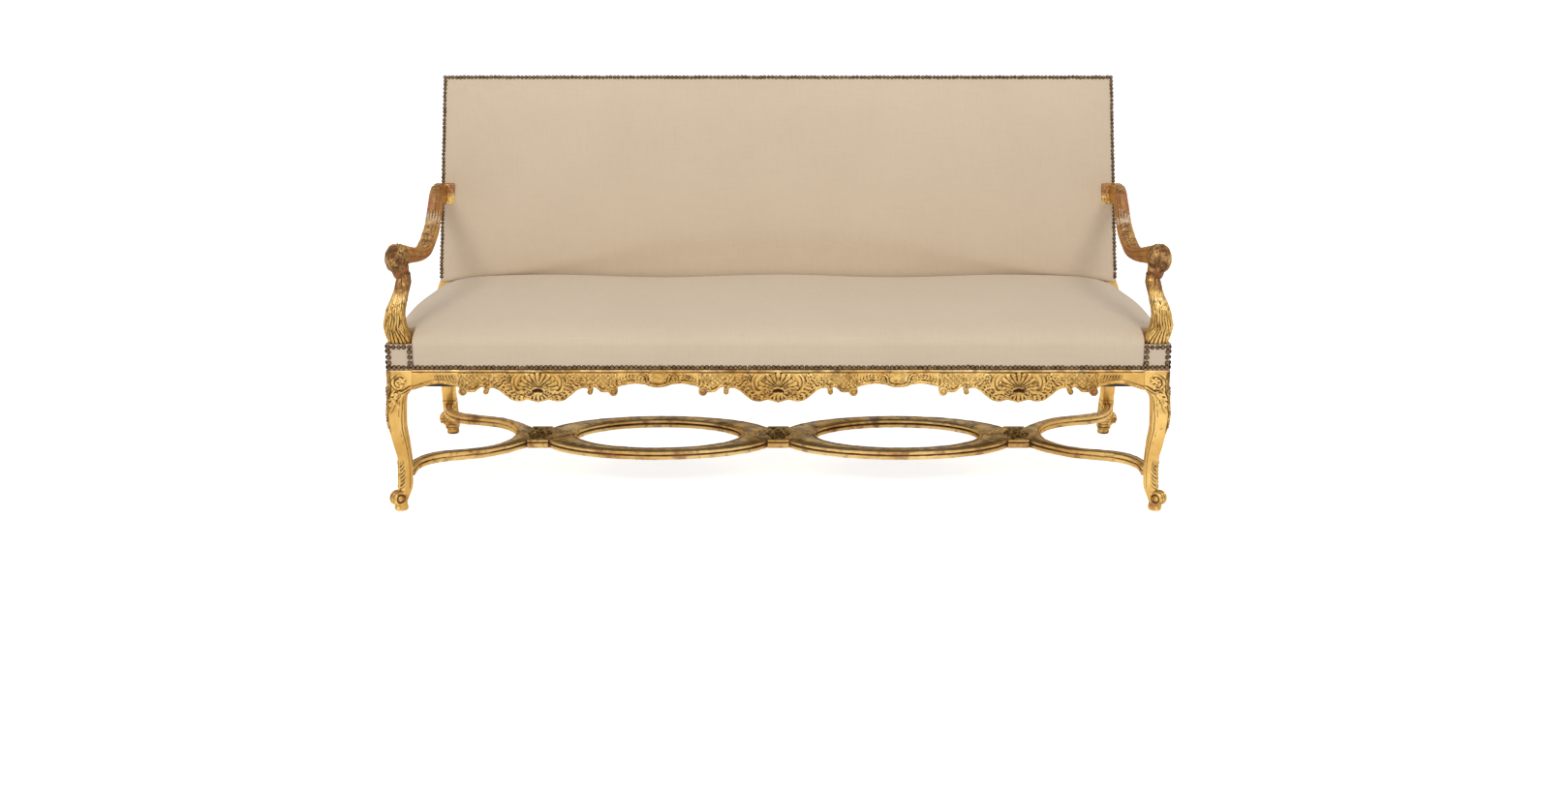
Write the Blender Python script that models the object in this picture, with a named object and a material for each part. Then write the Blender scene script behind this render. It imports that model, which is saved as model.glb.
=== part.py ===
"""A carved giltwood sofa with a tight crowned seat and back, open scrolled arms and a double oval stretcher.

Metres, +Z up, +X to the right as seen from the front, +Y to the back.
The frame is laid out with the front rail's face at y = 0 and then centred on the origin."""

import math

import bmesh
import bpy
from mathutils import Vector

# Joints and steps
SEAM = 0.0003
MERGE = 0.00001
OVERRUN = 0.02
CORNER_STEPS = 3
CURVE_STEPS = 3
SMOOTH_ANGLE = math.radians(40)
FLATNESS = math.radians(0.01)

# Seat frame
HALF_WIDTH = 1.014
REAR_INSET = 0.026
CORNER = 0.069
KNEE_TOP = 0.375
KNEE_SWELL_SHARE = 0.101
RAIL_LINE = 0.384
RAIL_TOP = 0.445
BLOCK_TOP = 0.4535
CLOTH_STEP = 0.0055
APRON_THICKNESS = 0.024
RAIL_THICKNESS = 0.034
RAIL_UNDERSIDE = 0.356
APRON_LINE = 0.349
SHELL_PITCH_SHARE = 0.6134
SHELL_DROP = 0.051
SHELL_LOBES = 9
BACK_RAIL_THICKNESS = 0.034
BACK_RAIL_UNDERSIDE = 0.345

# Rear posts and the lean of the back
POST_FRONT = 0.600
POST_WIDTH = 0.038
POST_DEPTH = 0.044
FOOT_SETBACK = 0.083
BACK_RAKE = math.radians(8.9)
LEAN_START = 0.414
BACK_START = 0.4935
BACK_LENGTH = 0.578
BACK_INSET_BOTTOM = 0.0155
BACK_INSET_TOP = 0.034
BACK_FRAME_DEPTH = 0.036
TOP_RAIL_HEIGHT = 0.050
BOTTOM_RAIL_DROP = 0.024
BOTTOM_RAIL_RISE = 0.040
UPRIGHT_WIDTH = 0.040
UPRIGHT_THICKNESS = 0.030

# Feet
PAD_RADIUS = 0.0185
PAD_HEIGHT = 0.020
SCROLL_RADIUS = 0.019
SCROLL_WIDTH = 0.028
SCROLL_HEIGHT = 0.034
SCROLL_EYE = 0.003
FRONT_PAD_INSET = 0.0225
FRONT_SCROLL_INSET = 0.0160
REAR_SCROLL_OUT = 0.001
REAR_SCROLL_HEIGHT = 0.047
REAR_SCROLL_RADIUS = 0.018

# Arms
ARM_WIDTH = 0.044
ARM_HEIGHT = 0.042
ARM_BLOCK = 0.060
ARM_BLOCK_HEIGHT = 0.058
ARM_REAR_INSET = 0.042
ARM_REAR_Z = 0.746
ARM_FRONT_INSET = 0.030
ARM_DIP = 0.077
ARM_SCROLL_RADIUS = 0.037
ARM_SCROLL_WIDTH = 0.058
ARM_SCROLL_Y = 0.062
ARM_SCROLL_DROP = 0.079
ARM_SCROLL_EYE = 0.004
SUPPORT_WIDTH = 0.060
SUPPORT_DEPTH = 0.058

# Stretcher
STRETCHER_TOP = 0.107
STRETCHER_THICKNESS = 0.024
STRETCHER_MIDDLE = 0.352
CROSSING_PITCH_SHARE = 0.6558
BLOCK_HALF_WIDTH = 0.028
BLOCK_HALF_DEPTH = 0.0585
HOLE_LENGTH_SHARE = 0.3444
HOLE_HALF_WIDTH = 0.127
OVAL_HALF_WIDTH = 0.172
FORK_TIP = 0.069
FRONT_FORK_INSET = 0.038
BUTTON_RADIUS = 0.017
BUTTON_HEIGHT = 0.006

# Upholstery
CLOTH = 0.002
WADDING = 0.0025
THIN_CLOTH = 0.0012
COVER_END = 0.3885
SEAT_EDGE = 0.456
SEAT_CROWN = 0.511
SEAT_REAR = 0.5985
SIDE_ROLL = 0.024
FRONT_ROLL = 0.050
BACK_EDGE = 0.012
BACK_CROWN = 0.016
WEB_WIDTH = 0.050
WEB_THICKNESS = 0.0025
SEAT_WEBS = 11
SEAT_CROSS_WEBS = 3
BACK_WEBS = 7
BACK_CROSS_WEBS = 3
SPRING_COLUMNS = 6
SPRING_TURNS = 4
SPRING_WIRE = 0.0021
SPRING_RADIUS = 0.040
SPRING_WAIST_SHARE = 0.62
SPRING_POINTS = 8
BRACE_WIDTH = 0.045
BRACE_HEIGHT = 0.020
BLOCK_LEG = 0.056
BLOCK_HEIGHT = 0.040

# Lines of the padded surfaces: the seat's edge, its width and depth, and the back's width and height
SEAT_EDGE_SHARES = (0, 0.005, 0.16, 0.38, 0.68)
SEAT_X_SHARES = (0.148, 0.427, 0.663, 0.836, 0.942, 1)
SEAT_Y_SHARES = (0, 0.07, 0.18, 0.38, 0.62, 0.82, 1)
BACK_X_SHARES = (-1, -0.985, -0.95, -0.87, -0.72, -0.5, -0.25, 0, 0.25, 0.5, 0.72, 0.87, 0.95, 0.985, 1)
BACK_UP_SHARES = (0, 0.025, 0.09, 0.22, 0.4, 0.6, 0.78, 0.91, 0.975, 1)
BACK_RIM_SHARE = 0.7
SPRING_ROW_OFFSET = 0.128

# Worked out from the sizes above
REAR_HALF_WIDTH = HALF_WIDTH - REAR_INSET
SHELL_PITCH = HALF_WIDTH * SHELL_PITCH_SHARE
UPRIGHT_X = SHELL_PITCH / 2
BACK_HALF_BOTTOM = REAR_HALF_WIDTH - BACK_INSET_BOTTOM
BACK_HALF_TOP = REAR_HALF_WIDTH - BACK_INSET_TOP
ARM_REAR_X = REAR_HALF_WIDTH - ARM_REAR_INSET
ARM_FRONT_X = HALF_WIDTH - ARM_FRONT_INSET
ARM_SCROLL_Z = ARM_REAR_Z - ARM_SCROLL_DROP
CROSSING_PITCH = HALF_WIDTH * CROSSING_PITCH_SHARE
HOLE_HALF_LENGTH = CROSSING_PITCH * HOLE_LENGTH_SHARE
FRONT_FORK_X = HALF_WIDTH - FRONT_FORK_INSET
REAR_FORK_X = REAR_HALF_WIDTH - POST_WIDTH / 2
SEAT_NOTCH = min(HALF_WIDTH - CORNER, REAR_HALF_WIDTH - POST_WIDTH - 2 * CLOTH) - SEAM
FRONT_REACH = KNEE_SWELL_SHARE * CORNER
BACK_TOP_Y = POST_FRONT + (BACK_START - LEAN_START) * math.tan(BACK_RAKE) + BACK_LENGTH * math.sin(BACK_RAKE)
REAR_REACH = BACK_TOP_Y + (BACK_FRAME_DEPTH + THIN_CLOTH + SEAM) * math.cos(BACK_RAKE)
MIDDLE_Y = (REAR_REACH - FRONT_REACH) / 2

# Front leg: height, outward swell and width, as shares of the knee's height and of the corner's side
FRONT_LEG_SHARES = (
    (1.000, 0.000, 1.000),
    (0.940, 0.015, 1.010),
    (0.880, 0.036, 0.985),
    (0.848, 0.046, 0.845),
    (0.813, 0.058, 0.752),
    (0.717, KNEE_SWELL_SHARE, 0.768),
    (0.611, 0.000, 0.681),
    (0.507, -0.116, 0.638),
    (0.400, -0.254, 0.543),
    (0.307, -0.304, 0.507),
    (0.213, -0.283, 0.514),
    (0.147, -0.217, 0.522),
    (0.096, -0.159, 0.478),
    (0.048, -0.101, 0.440),
)

# Rear leg: height as a share of the rail line, and setback as a share of the foot's
REAR_LEG_SHARES = (
    (0.045, 0.985),
    (0.100, 0.900),
    (0.180, 0.760),
    (0.300, 0.560),
    (0.450, 0.340),
    (0.650, 0.140),
    (0.850, 0.020),
    (0.960, 0.000),
)

# Half of one apron bay from a shell's middle: along the bay, and drop below the apron line
APRON_SHARES = (
    (0.087, 0.86),
    (0.144, 0.94),
    (0.208, 0.90),
    (0.247, 0.745),
    (0.285, 0.55),
    (0.324, 0.35),
    (0.365, 0.235),
    (0.413, 0.275),
    (0.434, 0.40),
    (0.452, 0.29),
    (0.497, 0.35),
    (0.558, 0.45),
    (0.599, 0.50),
    (0.645, 0.40),
    (0.663, 0.18),
    (0.724, 0.08),
    (0.804, 0.00),
    (0.881, 0.04),
    (0.952, 0.157),
)
APRON_MID_SHARE = 0.196
APRON_LEG_SHARE = 0.33

# Volutes under each half bay: along the bay, drop of the middle, radius as a share of the shell's drop
VOLUTE_SHARES = (
    (0.434, 0.412, 0.118),
    (0.627, 0.402, 0.196),
)
VOLUTE_STEPS = 10

# Shell: rings from the hub out, with their relief, then its hub, width, height, scallops and flutes
SHELL_RING_SHARES = ((0.18, 0.45), (0.45, 0.95), (0.80, 0.80), (1.00, 0.25))
SHELL_HUB_SHARE = 0.25
SHELL_WIDTH_SHARE = 1.25
SHELL_HEIGHT_SHARE = 0.96
SHELL_SCALLOP_SHARE = 0.10
SHELL_FLUTE_SHARE = 0.45

# Arm, from the post to the front: forward run, drop, outward run, then width and height of the section
ARM_SHARES = (
    (0.00, 0.00, 0.00, 1.36, 1.38, 0.12),
    (0.13, 0.00, 0.00, 1.36, 1.38, 0.12),
    (0.18, 0.04, 0.00, 1.26, 1.28, 0.25),
    (0.28, 0.31, 0.08, 1.10, 1.10, 0.36),
    (0.40, 0.64, 0.24, 1.03, 1.03, 0.40),
    (0.55, 0.88, 0.40, 1.00, 1.00, 0.40),
    (0.70, 0.98, 0.58, 1.00, 0.98, 0.40),
    (0.84, 0.97, 0.76, 1.02, 0.96, 0.40),
    (0.94, 0.87, 0.92, 1.08, 0.95, 0.40),
    (1.00, 0.80, 1.00, 1.12, 0.86, 0.40),
)

# Arm support: height, outer edge, inner edge, front edge and back edge
SUPPORT_SHARES = (
    (0.000, 0.990, -0.010, 0.000, 1.000),
    (0.060, 1.060, -0.040, -0.040, 1.000),
    (0.140, 1.120, 0.100, -0.140, 0.940),
    (0.230, 1.140, 0.200, -0.190, 0.850),
    (0.360, 1.080, 0.235, -0.160, 0.760),
    (0.460, 0.985, 0.210, -0.030, 0.800),
    (0.560, 0.840, 0.165, 0.150, 0.900),
    (0.690, 0.690, 0.085, 0.400, 1.080),
    (0.820, 0.675, 0.000, 0.520, 1.230),
    (0.930, 0.710, 0.000, 0.560, 1.330),
    (1.000, 0.800, -0.020, 0.560, 1.380),
)

# Fork arm of the stretcher from its crossing to the leg: outer rail, then inner rail
FORK_OUTER_SHARES = (
    (0.090, 0.196),
    (0.193, 0.319),
    (0.267, 0.389),
    (0.421, 0.503),
    (0.582, 0.560),
    (0.740, 0.617),
    (0.817, 0.661),
    (0.891, 0.728),
    (0.939, 0.826),
    (0.945, 0.930),
    (0.945, 1.000),
)
FORK_INNER_SHARES = (
    (0.222, 0.000),
    (0.226, 0.095),
    (0.251, 0.188),
    (0.318, 0.309),
    (0.434, 0.409),
    (0.592, 0.470),
    (0.756, 0.510),
    (0.870, 0.570),
    (0.955, 0.668),
    (1.025, 0.840),
    (1.045, 1.000),
)

# Side moulding of the stretcher: inset, and height as a share of the thickness
MOULDING_SHARES = (
    (0.20, 0.00),
    (0.00, 0.22),
    (0.00, 0.40),
    (0.13, 0.52),
    (0.10, 0.85),
    (0.24, 1.00),
)
MOULDING_DEPTH = 0.030

COLOURS = {
    "gilt": ((0.60, 0.36, 0.08), 0.38, 0.85),
    "beech": ((0.46, 0.30, 0.16), 0.65, 0.0),
    "linen": ((0.66, 0.55, 0.41), 0.9, 0.0),
    "hair": ((0.10, 0.07, 0.05), 0.95, 0.0),
    "jute": ((0.42, 0.30, 0.17), 0.95, 0.0),
    "steel": ((0.30, 0.28, 0.26), 0.4, 1.0),
    "black_cloth": ((0.02, 0.02, 0.02), 0.95, 0.0),
}

for old in list(bpy.data.objects):
    bpy.data.objects.remove(old, do_unlink=True)


def new_material(name, kind):
    colour, roughness, metallic = COLOURS[kind]
    material = bpy.data.materials.new(name)
    material.use_nodes = True
    shader = material.node_tree.nodes["Principled BSDF"]
    shader.inputs["Base Color"].default_value = (*colour, 1)
    shader.inputs["Roughness"].default_value = roughness
    shader.inputs["Metallic"].default_value = metallic
    material.diffuse_color = (*colour, 1)
    return material


def add_object(name, verts, faces, kind, cutter=False):
    """One closed solid, moved so that the whole sofa is centred on the origin."""
    mesh = bpy.data.meshes.new(name)
    mesh.from_pydata([(x, y - MIDDLE_Y, z) for x, y, z in verts], [], faces)
    build = bmesh.new()
    build.from_mesh(mesh)
    bmesh.ops.remove_doubles(build, verts=build.verts, dist=MERGE)
    quads = [face for face in build.faces if len(face.verts) == 4]
    bmesh.ops.connect_verts_nonplanar(build, angle_limit=FLATNESS, faces=quads)
    bmesh.ops.recalc_face_normals(build, faces=build.faces)
    build.to_mesh(mesh)
    build.free()
    mesh.shade_smooth()
    mesh.set_sharp_from_angle(angle=SMOOTH_ANGLE)
    obj = bpy.data.objects.new(name, mesh)
    bpy.context.collection.objects.link(obj)
    if cutter:
        obj.hide_render = True
        obj.display_type = "WIRE"
    else:
        mesh.materials.append(new_material(name, kind))
    return obj


def boolean(target, tool, operation):
    modifier = target.modifiers.new(tool.name, "BOOLEAN")
    modifier.operation = operation
    modifier.solver = "EXACT"
    modifier.object = tool


def fuse(target, tool):
    boolean(target, tool, "UNION")


def cut(target, tool):
    boolean(target, tool, "DIFFERENCE")


def lofted(sections, closed=False):
    """Vertices and faces of a skin over equal loops, with flat ends unless it closes on itself."""
    size = len(sections[0])
    verts = [tuple(point) for section in sections for point in section]
    faces = []
    rows = len(sections)
    for i in range(rows if closed else rows - 1):
        below = i * size
        above = (i + 1) % rows * size
        for j in range(size):
            k = (j + 1) % size
            faces.append((below + j, below + k, above + k, above + j))
    if not closed:
        faces.append(tuple(range(size)))
        faces.append(tuple(range((rows - 1) * size, rows * size)))
    return verts, faces


def prism(outline, low, high, place):
    """A flat outline given depth, with place(a, b, c) turning it into the room."""
    return lofted([[place(a, b, c) for a, b in outline] for c in (low, high)])


def upright(a, b, c):
    return (a, b, c)


def box(name, kind, x, y, z, cutter=False):
    outline = [(x[0], y[0]), (x[1], y[0]), (x[1], y[1]), (x[0], y[1])]
    return add_object(name, *prism(outline, z[0], z[1], upright), kind, cutter)


def rounded_rectangle(x0, x1, y0, y1, radius, steps=CORNER_STEPS):
    loop = []
    for cx, cy, start in (
        (x1 - radius, y1 - radius, 0),
        (x0 + radius, y1 - radius, 90),
        (x0 + radius, y0 + radius, 180),
        (x1 - radius, y0 + radius, 270),
    ):
        for k in range(steps):
            angle = math.radians(start + 90 * k / (steps - 1))
            loop.append((cx + radius * math.cos(angle), cy + radius * math.sin(angle)))
    return loop


def spline(rows, steps=CURVE_STEPS):
    """A smooth run through every row of numbers, with steps places for each stretch."""
    out = []
    last = len(rows) - 1
    for i in range(last):
        p0, p1, p2, p3 = (rows[min(max(k, 0), last)] for k in range(i - 1, i + 3))
        for s in range(steps):
            t = s / steps
            row = []
            for a, b, c, d in zip(p0, p1, p2, p3):
                bend = (a - 2.5 * b + 2 * c - d / 2) * t**2
                turn = (1.5 * (b - c) + (d - a) / 2) * t**3
                row.append(b + (c - a) * t / 2 + bend + turn)
            out.append(tuple(row))
    out.append(tuple(rows[-1]))
    return out


def turned(name, profile, centre, axis, kind, steps, cutter=False):
    """A solid turned round an axis: profile rows are (along, radius)."""
    axis = Vector(axis).normalized()
    side = axis.orthogonal().normalized()
    other = axis.cross(side)
    sections = []
    for along, radius in profile:
        loop = []
        for k in range(steps):
            angle = 2 * math.pi * (k + 0.5) / steps
            offset = side * (radius * math.cos(angle)) + other * (radius * math.sin(angle))
            loop.append(Vector(centre) + axis * along + offset)
        sections.append(loop)
    return add_object(name, *lofted(sections), kind, cutter)


def scroll_profile(width, radius, eye):
    """Half-turned volute: a barrel whose ends step in to a raised eye."""
    half = width / 2
    return (
        (-half - eye, radius / 3),
        (-half, radius / 2),
        (-half, radius * 0.93),
        (-half * 0.8, radius),
        (half * 0.8, radius),
        (half, radius * 0.93),
        (half, radius / 2),
        (half + eye, radius / 3),
    )


def side_face(y):
    """Outer face of the side rail at a depth: the seat is a little narrower at the back."""
    run = (y - CORNER) / (POST_FRONT - CORNER)
    return HALF_WIDTH + (REAR_HALF_WIDTH - HALF_WIDTH) * min(max(run, 0), 1)


def back_plane(z):
    """Front plane of the back frame at a height."""
    return POST_FRONT + max(z - LEAN_START, 0) * math.tan(BACK_RAKE)


def on_back(x, up, behind):
    """A point of the back: up along its rake from the cover's lower edge, behind its front plane."""
    y = back_plane(BACK_START) + up * math.sin(BACK_RAKE) + behind * math.cos(BACK_RAKE)
    z = BACK_START + up * math.cos(BACK_RAKE) - behind * math.sin(BACK_RAKE)
    return (x, y, z)


def back_half(up):
    share = up / BACK_LENGTH
    return BACK_HALF_BOTTOM + (BACK_HALF_TOP - BACK_HALF_BOTTOM) * share


def row_at(rows, height):
    """Row of a table at a height share, in a straight line between its neighbours."""
    ordered = sorted(rows)
    for low, high in zip(ordered, ordered[1:]):
        if height <= high[0]:
            share = (height - low[0]) / (high[0] - low[0])
            return [a + (b - a) * share for a, b in zip(low, high)]
    return ordered[-1]


def front_leg_back(z):
    """Back face of the front leg at a height."""
    _, swell, width = row_at(spline(FRONT_LEG_SHARES, 2), z / KNEE_TOP)
    return (width - swell) * CORNER


def rear_leg_front(z):
    """Front face of the rear leg at a height."""
    return POST_FRONT + row_at(spline(REAR_LEG_SHARES, 2), z / RAIL_LINE)[1] * FOOT_SETBACK


def front_leg(side_name, side):
    def section(z, swell, width, radius, inset=0):
        slack = SEAM if inset else 0
        loop = rounded_rectangle(
            HALF_WIDTH + swell - width + slack,
            HALF_WIDTH + swell - inset,
            inset - swell,
            width - swell - slack,
            radius,
        )
        return [(side * x, y, z) for x, y in loop]

    block = CORNER / 30
    rows = []
    for height, swell, width in reversed(spline(FRONT_LEG_SHARES, 2)):
        slim = 1 - width
        radius = CORNER * (0.04 + 0.45 * max(slim, 0)) * min(width, 1)
        rows.append(section(height * KNEE_TOP, swell * CORNER, width * CORNER, radius))
    rows.append(section(RAIL_LINE, 0, CORNER, block))
    rows.append(section(RAIL_LINE, 0, CORNER, block, CLOTH_STEP))
    rows.append(section(BLOCK_TOP, 0, CORNER, block, CLOTH_STEP))
    leg = add_object(f"front_{side_name}_leg", *lofted(rows), "gilt")

    corner = HALF_WIDTH - FRONT_SCROLL_INSET
    scroll = turned(
        f"{side_name}_front_scroll",
        scroll_profile(SCROLL_WIDTH, SCROLL_RADIUS, SCROLL_EYE),
        (side * corner, FRONT_SCROLL_INSET, SCROLL_HEIGHT),
        (side, 1, 0),
        "gilt",
        16,
        cutter=True,
    )
    pad = turned(
        f"{side_name}_front_pad",
        ((0, PAD_RADIUS * 0.9), (PAD_HEIGHT * 0.3, PAD_RADIUS), (PAD_HEIGHT * 1.1, PAD_RADIUS * 0.85)),
        (side * (HALF_WIDTH - FRONT_PAD_INSET), FRONT_PAD_INSET, 0),
        (0, 0, 1),
        "gilt",
        16,
        cutter=True,
    )
    fuse(leg, scroll)
    fuse(leg, pad)
    return leg


def rear_post(side_name, side):
    bevel = POST_WIDTH / 8

    def section(z, outer, front, back, inset=0):
        loop = rounded_rectangle(outer - POST_WIDTH, outer - inset, front, back, bevel)
        return [(side * x, y, z) for x, y in loop]

    rows = []
    for height, setback in spline(REAR_LEG_SHARES, 2):
        front = POST_FRONT + setback * FOOT_SETBACK
        taper = POST_DEPTH * (1 - 0.16 * max(setback, 0))
        rows.append(section(height * RAIL_LINE, REAR_HALF_WIDTH, front, front + taper))
    rows.append(section(LEAN_START, REAR_HALF_WIDTH, POST_FRONT, POST_FRONT + POST_DEPTH))
    rows.append(section(RAIL_TOP, REAR_HALF_WIDTH, back_plane(RAIL_TOP), POST_FRONT + POST_DEPTH))
    covered = CLOTH + SEAM
    for up, outer in (
        (-SEAM, BACK_HALF_BOTTOM),
        (0, BACK_HALF_BOTTOM - covered),
        (BACK_LENGTH - covered, back_half(BACK_LENGTH) - covered),
    ):
        inner = outer - POST_WIDTH + SEAM * (up == 0)
        loop = rounded_rectangle(inner, outer, 0, BACK_FRAME_DEPTH, bevel)
        rows.append([on_back(side * x, up, behind) for x, behind in loop])
    post = add_object(f"rear_{side_name}_post", *lofted(rows), "gilt")

    pad_y = POST_FRONT + FOOT_SETBACK + PAD_RADIUS
    pad_x = REAR_HALF_WIDTH - POST_WIDTH / 2
    pad = turned(
        f"{side_name}_rear_pad",
        ((0, PAD_RADIUS * 0.9), (PAD_HEIGHT * 0.3, PAD_RADIUS), (PAD_HEIGHT * 1.3, PAD_RADIUS * 0.85)),
        (side * pad_x, pad_y, 0),
        (0, 0, 1),
        "gilt",
        16,
        cutter=True,
    )
    scroll = turned(
        f"{side_name}_rear_scroll",
        scroll_profile(SCROLL_WIDTH, REAR_SCROLL_RADIUS, SCROLL_EYE),
        (side * (REAR_HALF_WIDTH + REAR_SCROLL_OUT), pad_y - SCROLL_EYE, REAR_SCROLL_HEIGHT),
        (0, 1, 0),
        "gilt",
        16,
        cutter=True,
    )
    fuse(post, pad)
    fuse(post, scroll)
    return post


def bay_outline(shells, half_bay, start, end):
    """Lower edge of a carved rail from start to end: a row of shells with scrolled bays between them."""
    outline = [(start, APRON_LINE - APRON_LEG_SHARE * SHELL_DROP)]
    for number, shell in enumerate(shells):
        left = [(shell - a * half_bay, APRON_LINE - d * SHELL_DROP) for a, d in reversed(APRON_SHARES)]
        right = [(shell + a * half_bay, APRON_LINE - d * SHELL_DROP) for a, d in APRON_SHARES]
        outline += left + [(shell, APRON_LINE - SHELL_DROP)] + right
        if number < len(shells) - 1:
            outline.append((shell + half_bay, APRON_LINE - APRON_MID_SHARE * SHELL_DROP))
    outline.append((end, APRON_LINE - APRON_LEG_SHARE * SHELL_DROP))
    return outline


def carved_rail(name, shells, half_bay, start, end, place):
    """A rail sawn to the shaped outline, with its upper part stepped back for the cloth."""
    outline = bay_outline(shells, half_bay, start, end) + [(end, RAIL_LINE), (start, RAIL_LINE)]
    rail = add_object(name, *prism(outline, 0, APRON_THICKNESS, place), "gilt")
    ends = (start + SEAM, end - SEAM)
    core_outline = [(ends[0], RAIL_UNDERSIDE), (ends[1], RAIL_UNDERSIDE), (ends[1], RAIL_TOP), (ends[0], RAIL_TOP)]
    core_points = prism(core_outline, CLOTH_STEP, RAIL_THICKNESS, place)
    fuse(rail, add_object(f"{name}_core", *core_points, "gilt", cutter=True))
    for number, shell in enumerate(shells):
        fan = shell_relief(f"{name}_shell_{number}", shell, place)
        fuse(rail, fan)
        for k, (share, drop, radius) in enumerate(VOLUTE_SHARES):
            for side in (-1, 1):
                middle = (shell + side * share * half_bay, APRON_LINE - drop * SHELL_DROP)
                fuse(rail, volute(f"{name}_curl_{number}{k}{side}", middle, radius * SHELL_DROP, place))
    return rail


def shell_relief(name, middle, place):
    """A lobed fan shell, fullest near its hub, set on the face of the rail."""
    steps = SHELL_LOBES * 4
    hub = APRON_LINE - SHELL_DROP * SHELL_HUB_SHARE
    reach = RAIL_LINE - hub

    def ring(share, scallop, depth, flute):
        loop = []
        for k in range(steps):
            angle = 2 * math.pi * k / steps
            lobe = abs(math.cos(angle * SHELL_LOBES))
            across = reach * share * (SHELL_WIDTH_SHARE + scallop * lobe) * math.sin(angle)
            rise = reach * share * SHELL_HEIGHT_SHARE * math.cos(angle)
            loop.append(place(middle + across, hub - rise, depth * (1 - flute * (1 - lobe))))
        return loop

    sections = []
    for share, height in SHELL_RING_SHARES:
        sections.append(ring(share, SHELL_SCALLOP_SHARE, -CLOTH_STEP * height, SHELL_FLUTE_SHARE))
    sections.append(ring(1, 0, APRON_THICKNESS / 4, 0))
    return add_object(name, *lofted(sections), "gilt", cutter=True)


def volute(name, middle, radius, place):
    """A curled end that hangs under the rail, as a short barrel across its thickness."""
    along, height = middle
    angles = [2 * math.pi * (k + 0.5) / VOLUTE_STEPS for k in range(VOLUTE_STEPS)]
    rows = []
    for depth, reach in ((-CLOTH, radius / 2), (-CLOTH / 2, radius), (APRON_THICKNESS - SEAM, radius)):
        rows.append([place(along + reach * math.cos(a), height + reach * math.sin(a), depth) for a in angles])
    return add_object(name, *lofted(rows), "gilt", cutter=True)


def make_rails():
    inner = HALF_WIDTH - CORNER - SEAM

    def front(a, b, c):
        return (a, c, b)

    carved_rail("front_seat_rail", (-SHELL_PITCH, 0, SHELL_PITCH), SHELL_PITCH / 2, -inner, inner, front)

    start = CORNER + SEAM
    end = POST_FRONT - SEAM
    for side_name, side in (("left", -1), ("right", 1)):

        def along_side(a, b, c):
            return (side * (side_face(a) - c), a, b)

        carved_rail(
            f"{side_name}_seat_rail", ((start + end) / 2,), (end - start) / 2, start, end, along_side
        )

    reach = REAR_HALF_WIDTH - POST_WIDTH - SEAM
    box(
        "back_seat_rail",
        "beech",
        (-reach, reach),
        (POST_FRONT + CLOTH_STEP, POST_FRONT + CLOTH_STEP + BACK_RAIL_THICKNESS),
        (BACK_RAIL_UNDERSIDE, RAIL_TOP),
    )


def make_seat_braces():
    front = RAIL_THICKNESS + SEAM
    back = POST_FRONT + CLOTH_STEP - SEAM
    for side_name, side in (("left", -1), ("right", 1)):
        middle = side * UPRIGHT_X
        half = BRACE_WIDTH / 2
        low = RAIL_UNDERSIDE + SEAM
        high = low + BRACE_HEIGHT
        box(f"{side_name}_seat_brace", "beech", (middle - half, middle + half), (front, back), (low, high))


def make_corner_blocks():
    low = RAIL_TOP - BLOCK_HEIGHT - BLOCK_HEIGHT / 4
    high = low + BLOCK_HEIGHT
    for side_name, side in (("left", -1), ("right", 1)):
        leg_face = HALF_WIDTH - CORNER - SEAM
        rail_back = RAIL_THICKNESS + SEAM
        below = CORNER + SEAM
        outline = [
            (leg_face, rail_back),
            (leg_face, below),
            (side_face(below) - RAIL_THICKNESS - SEAM, below),
            (side_face(below + BLOCK_LEG) - RAIL_THICKNESS - SEAM, below + BLOCK_LEG),
            (leg_face - BLOCK_LEG, rail_back),
        ]
        points = prism([(side * x, y) for x, y in outline], low, high, upright)
        add_object(f"front_{side_name}_corner_block", *points, "beech")

        rail_front = POST_FRONT + CLOTH_STEP - SEAM
        post_front = POST_FRONT - SEAM
        post_side = REAR_HALF_WIDTH - POST_WIDTH - SEAM
        outline = [
            (post_side, rail_front),
            (post_side, post_front),
            (side_face(post_front) - RAIL_THICKNESS - SEAM, post_front),
            (side_face(post_front - BLOCK_LEG) - RAIL_THICKNESS - SEAM, post_front - BLOCK_LEG),
            (post_side - BLOCK_LEG, rail_front),
        ]
        points = prism([(side * x, y) for x, y in outline], low, high, upright)
        add_object(f"rear_{side_name}_corner_block", *points, "beech")


def back_member(name, kind, left, right, ups, depths, cutter=False):
    """A straight piece of the back, between edges left(up) and right(up), two heights and two depths."""
    verts = []
    for depth in depths:
        for up in ups:
            verts.append(on_back(left(up), up, depth))
            verts.append(on_back(right(up), up, depth))
    faces = [(0, 1, 3, 2), (4, 5, 7, 6), (0, 1, 5, 4), (2, 3, 7, 6), (0, 2, 6, 4), (1, 3, 7, 5)]
    return add_object(name, verts, faces, kind, cutter)


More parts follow.
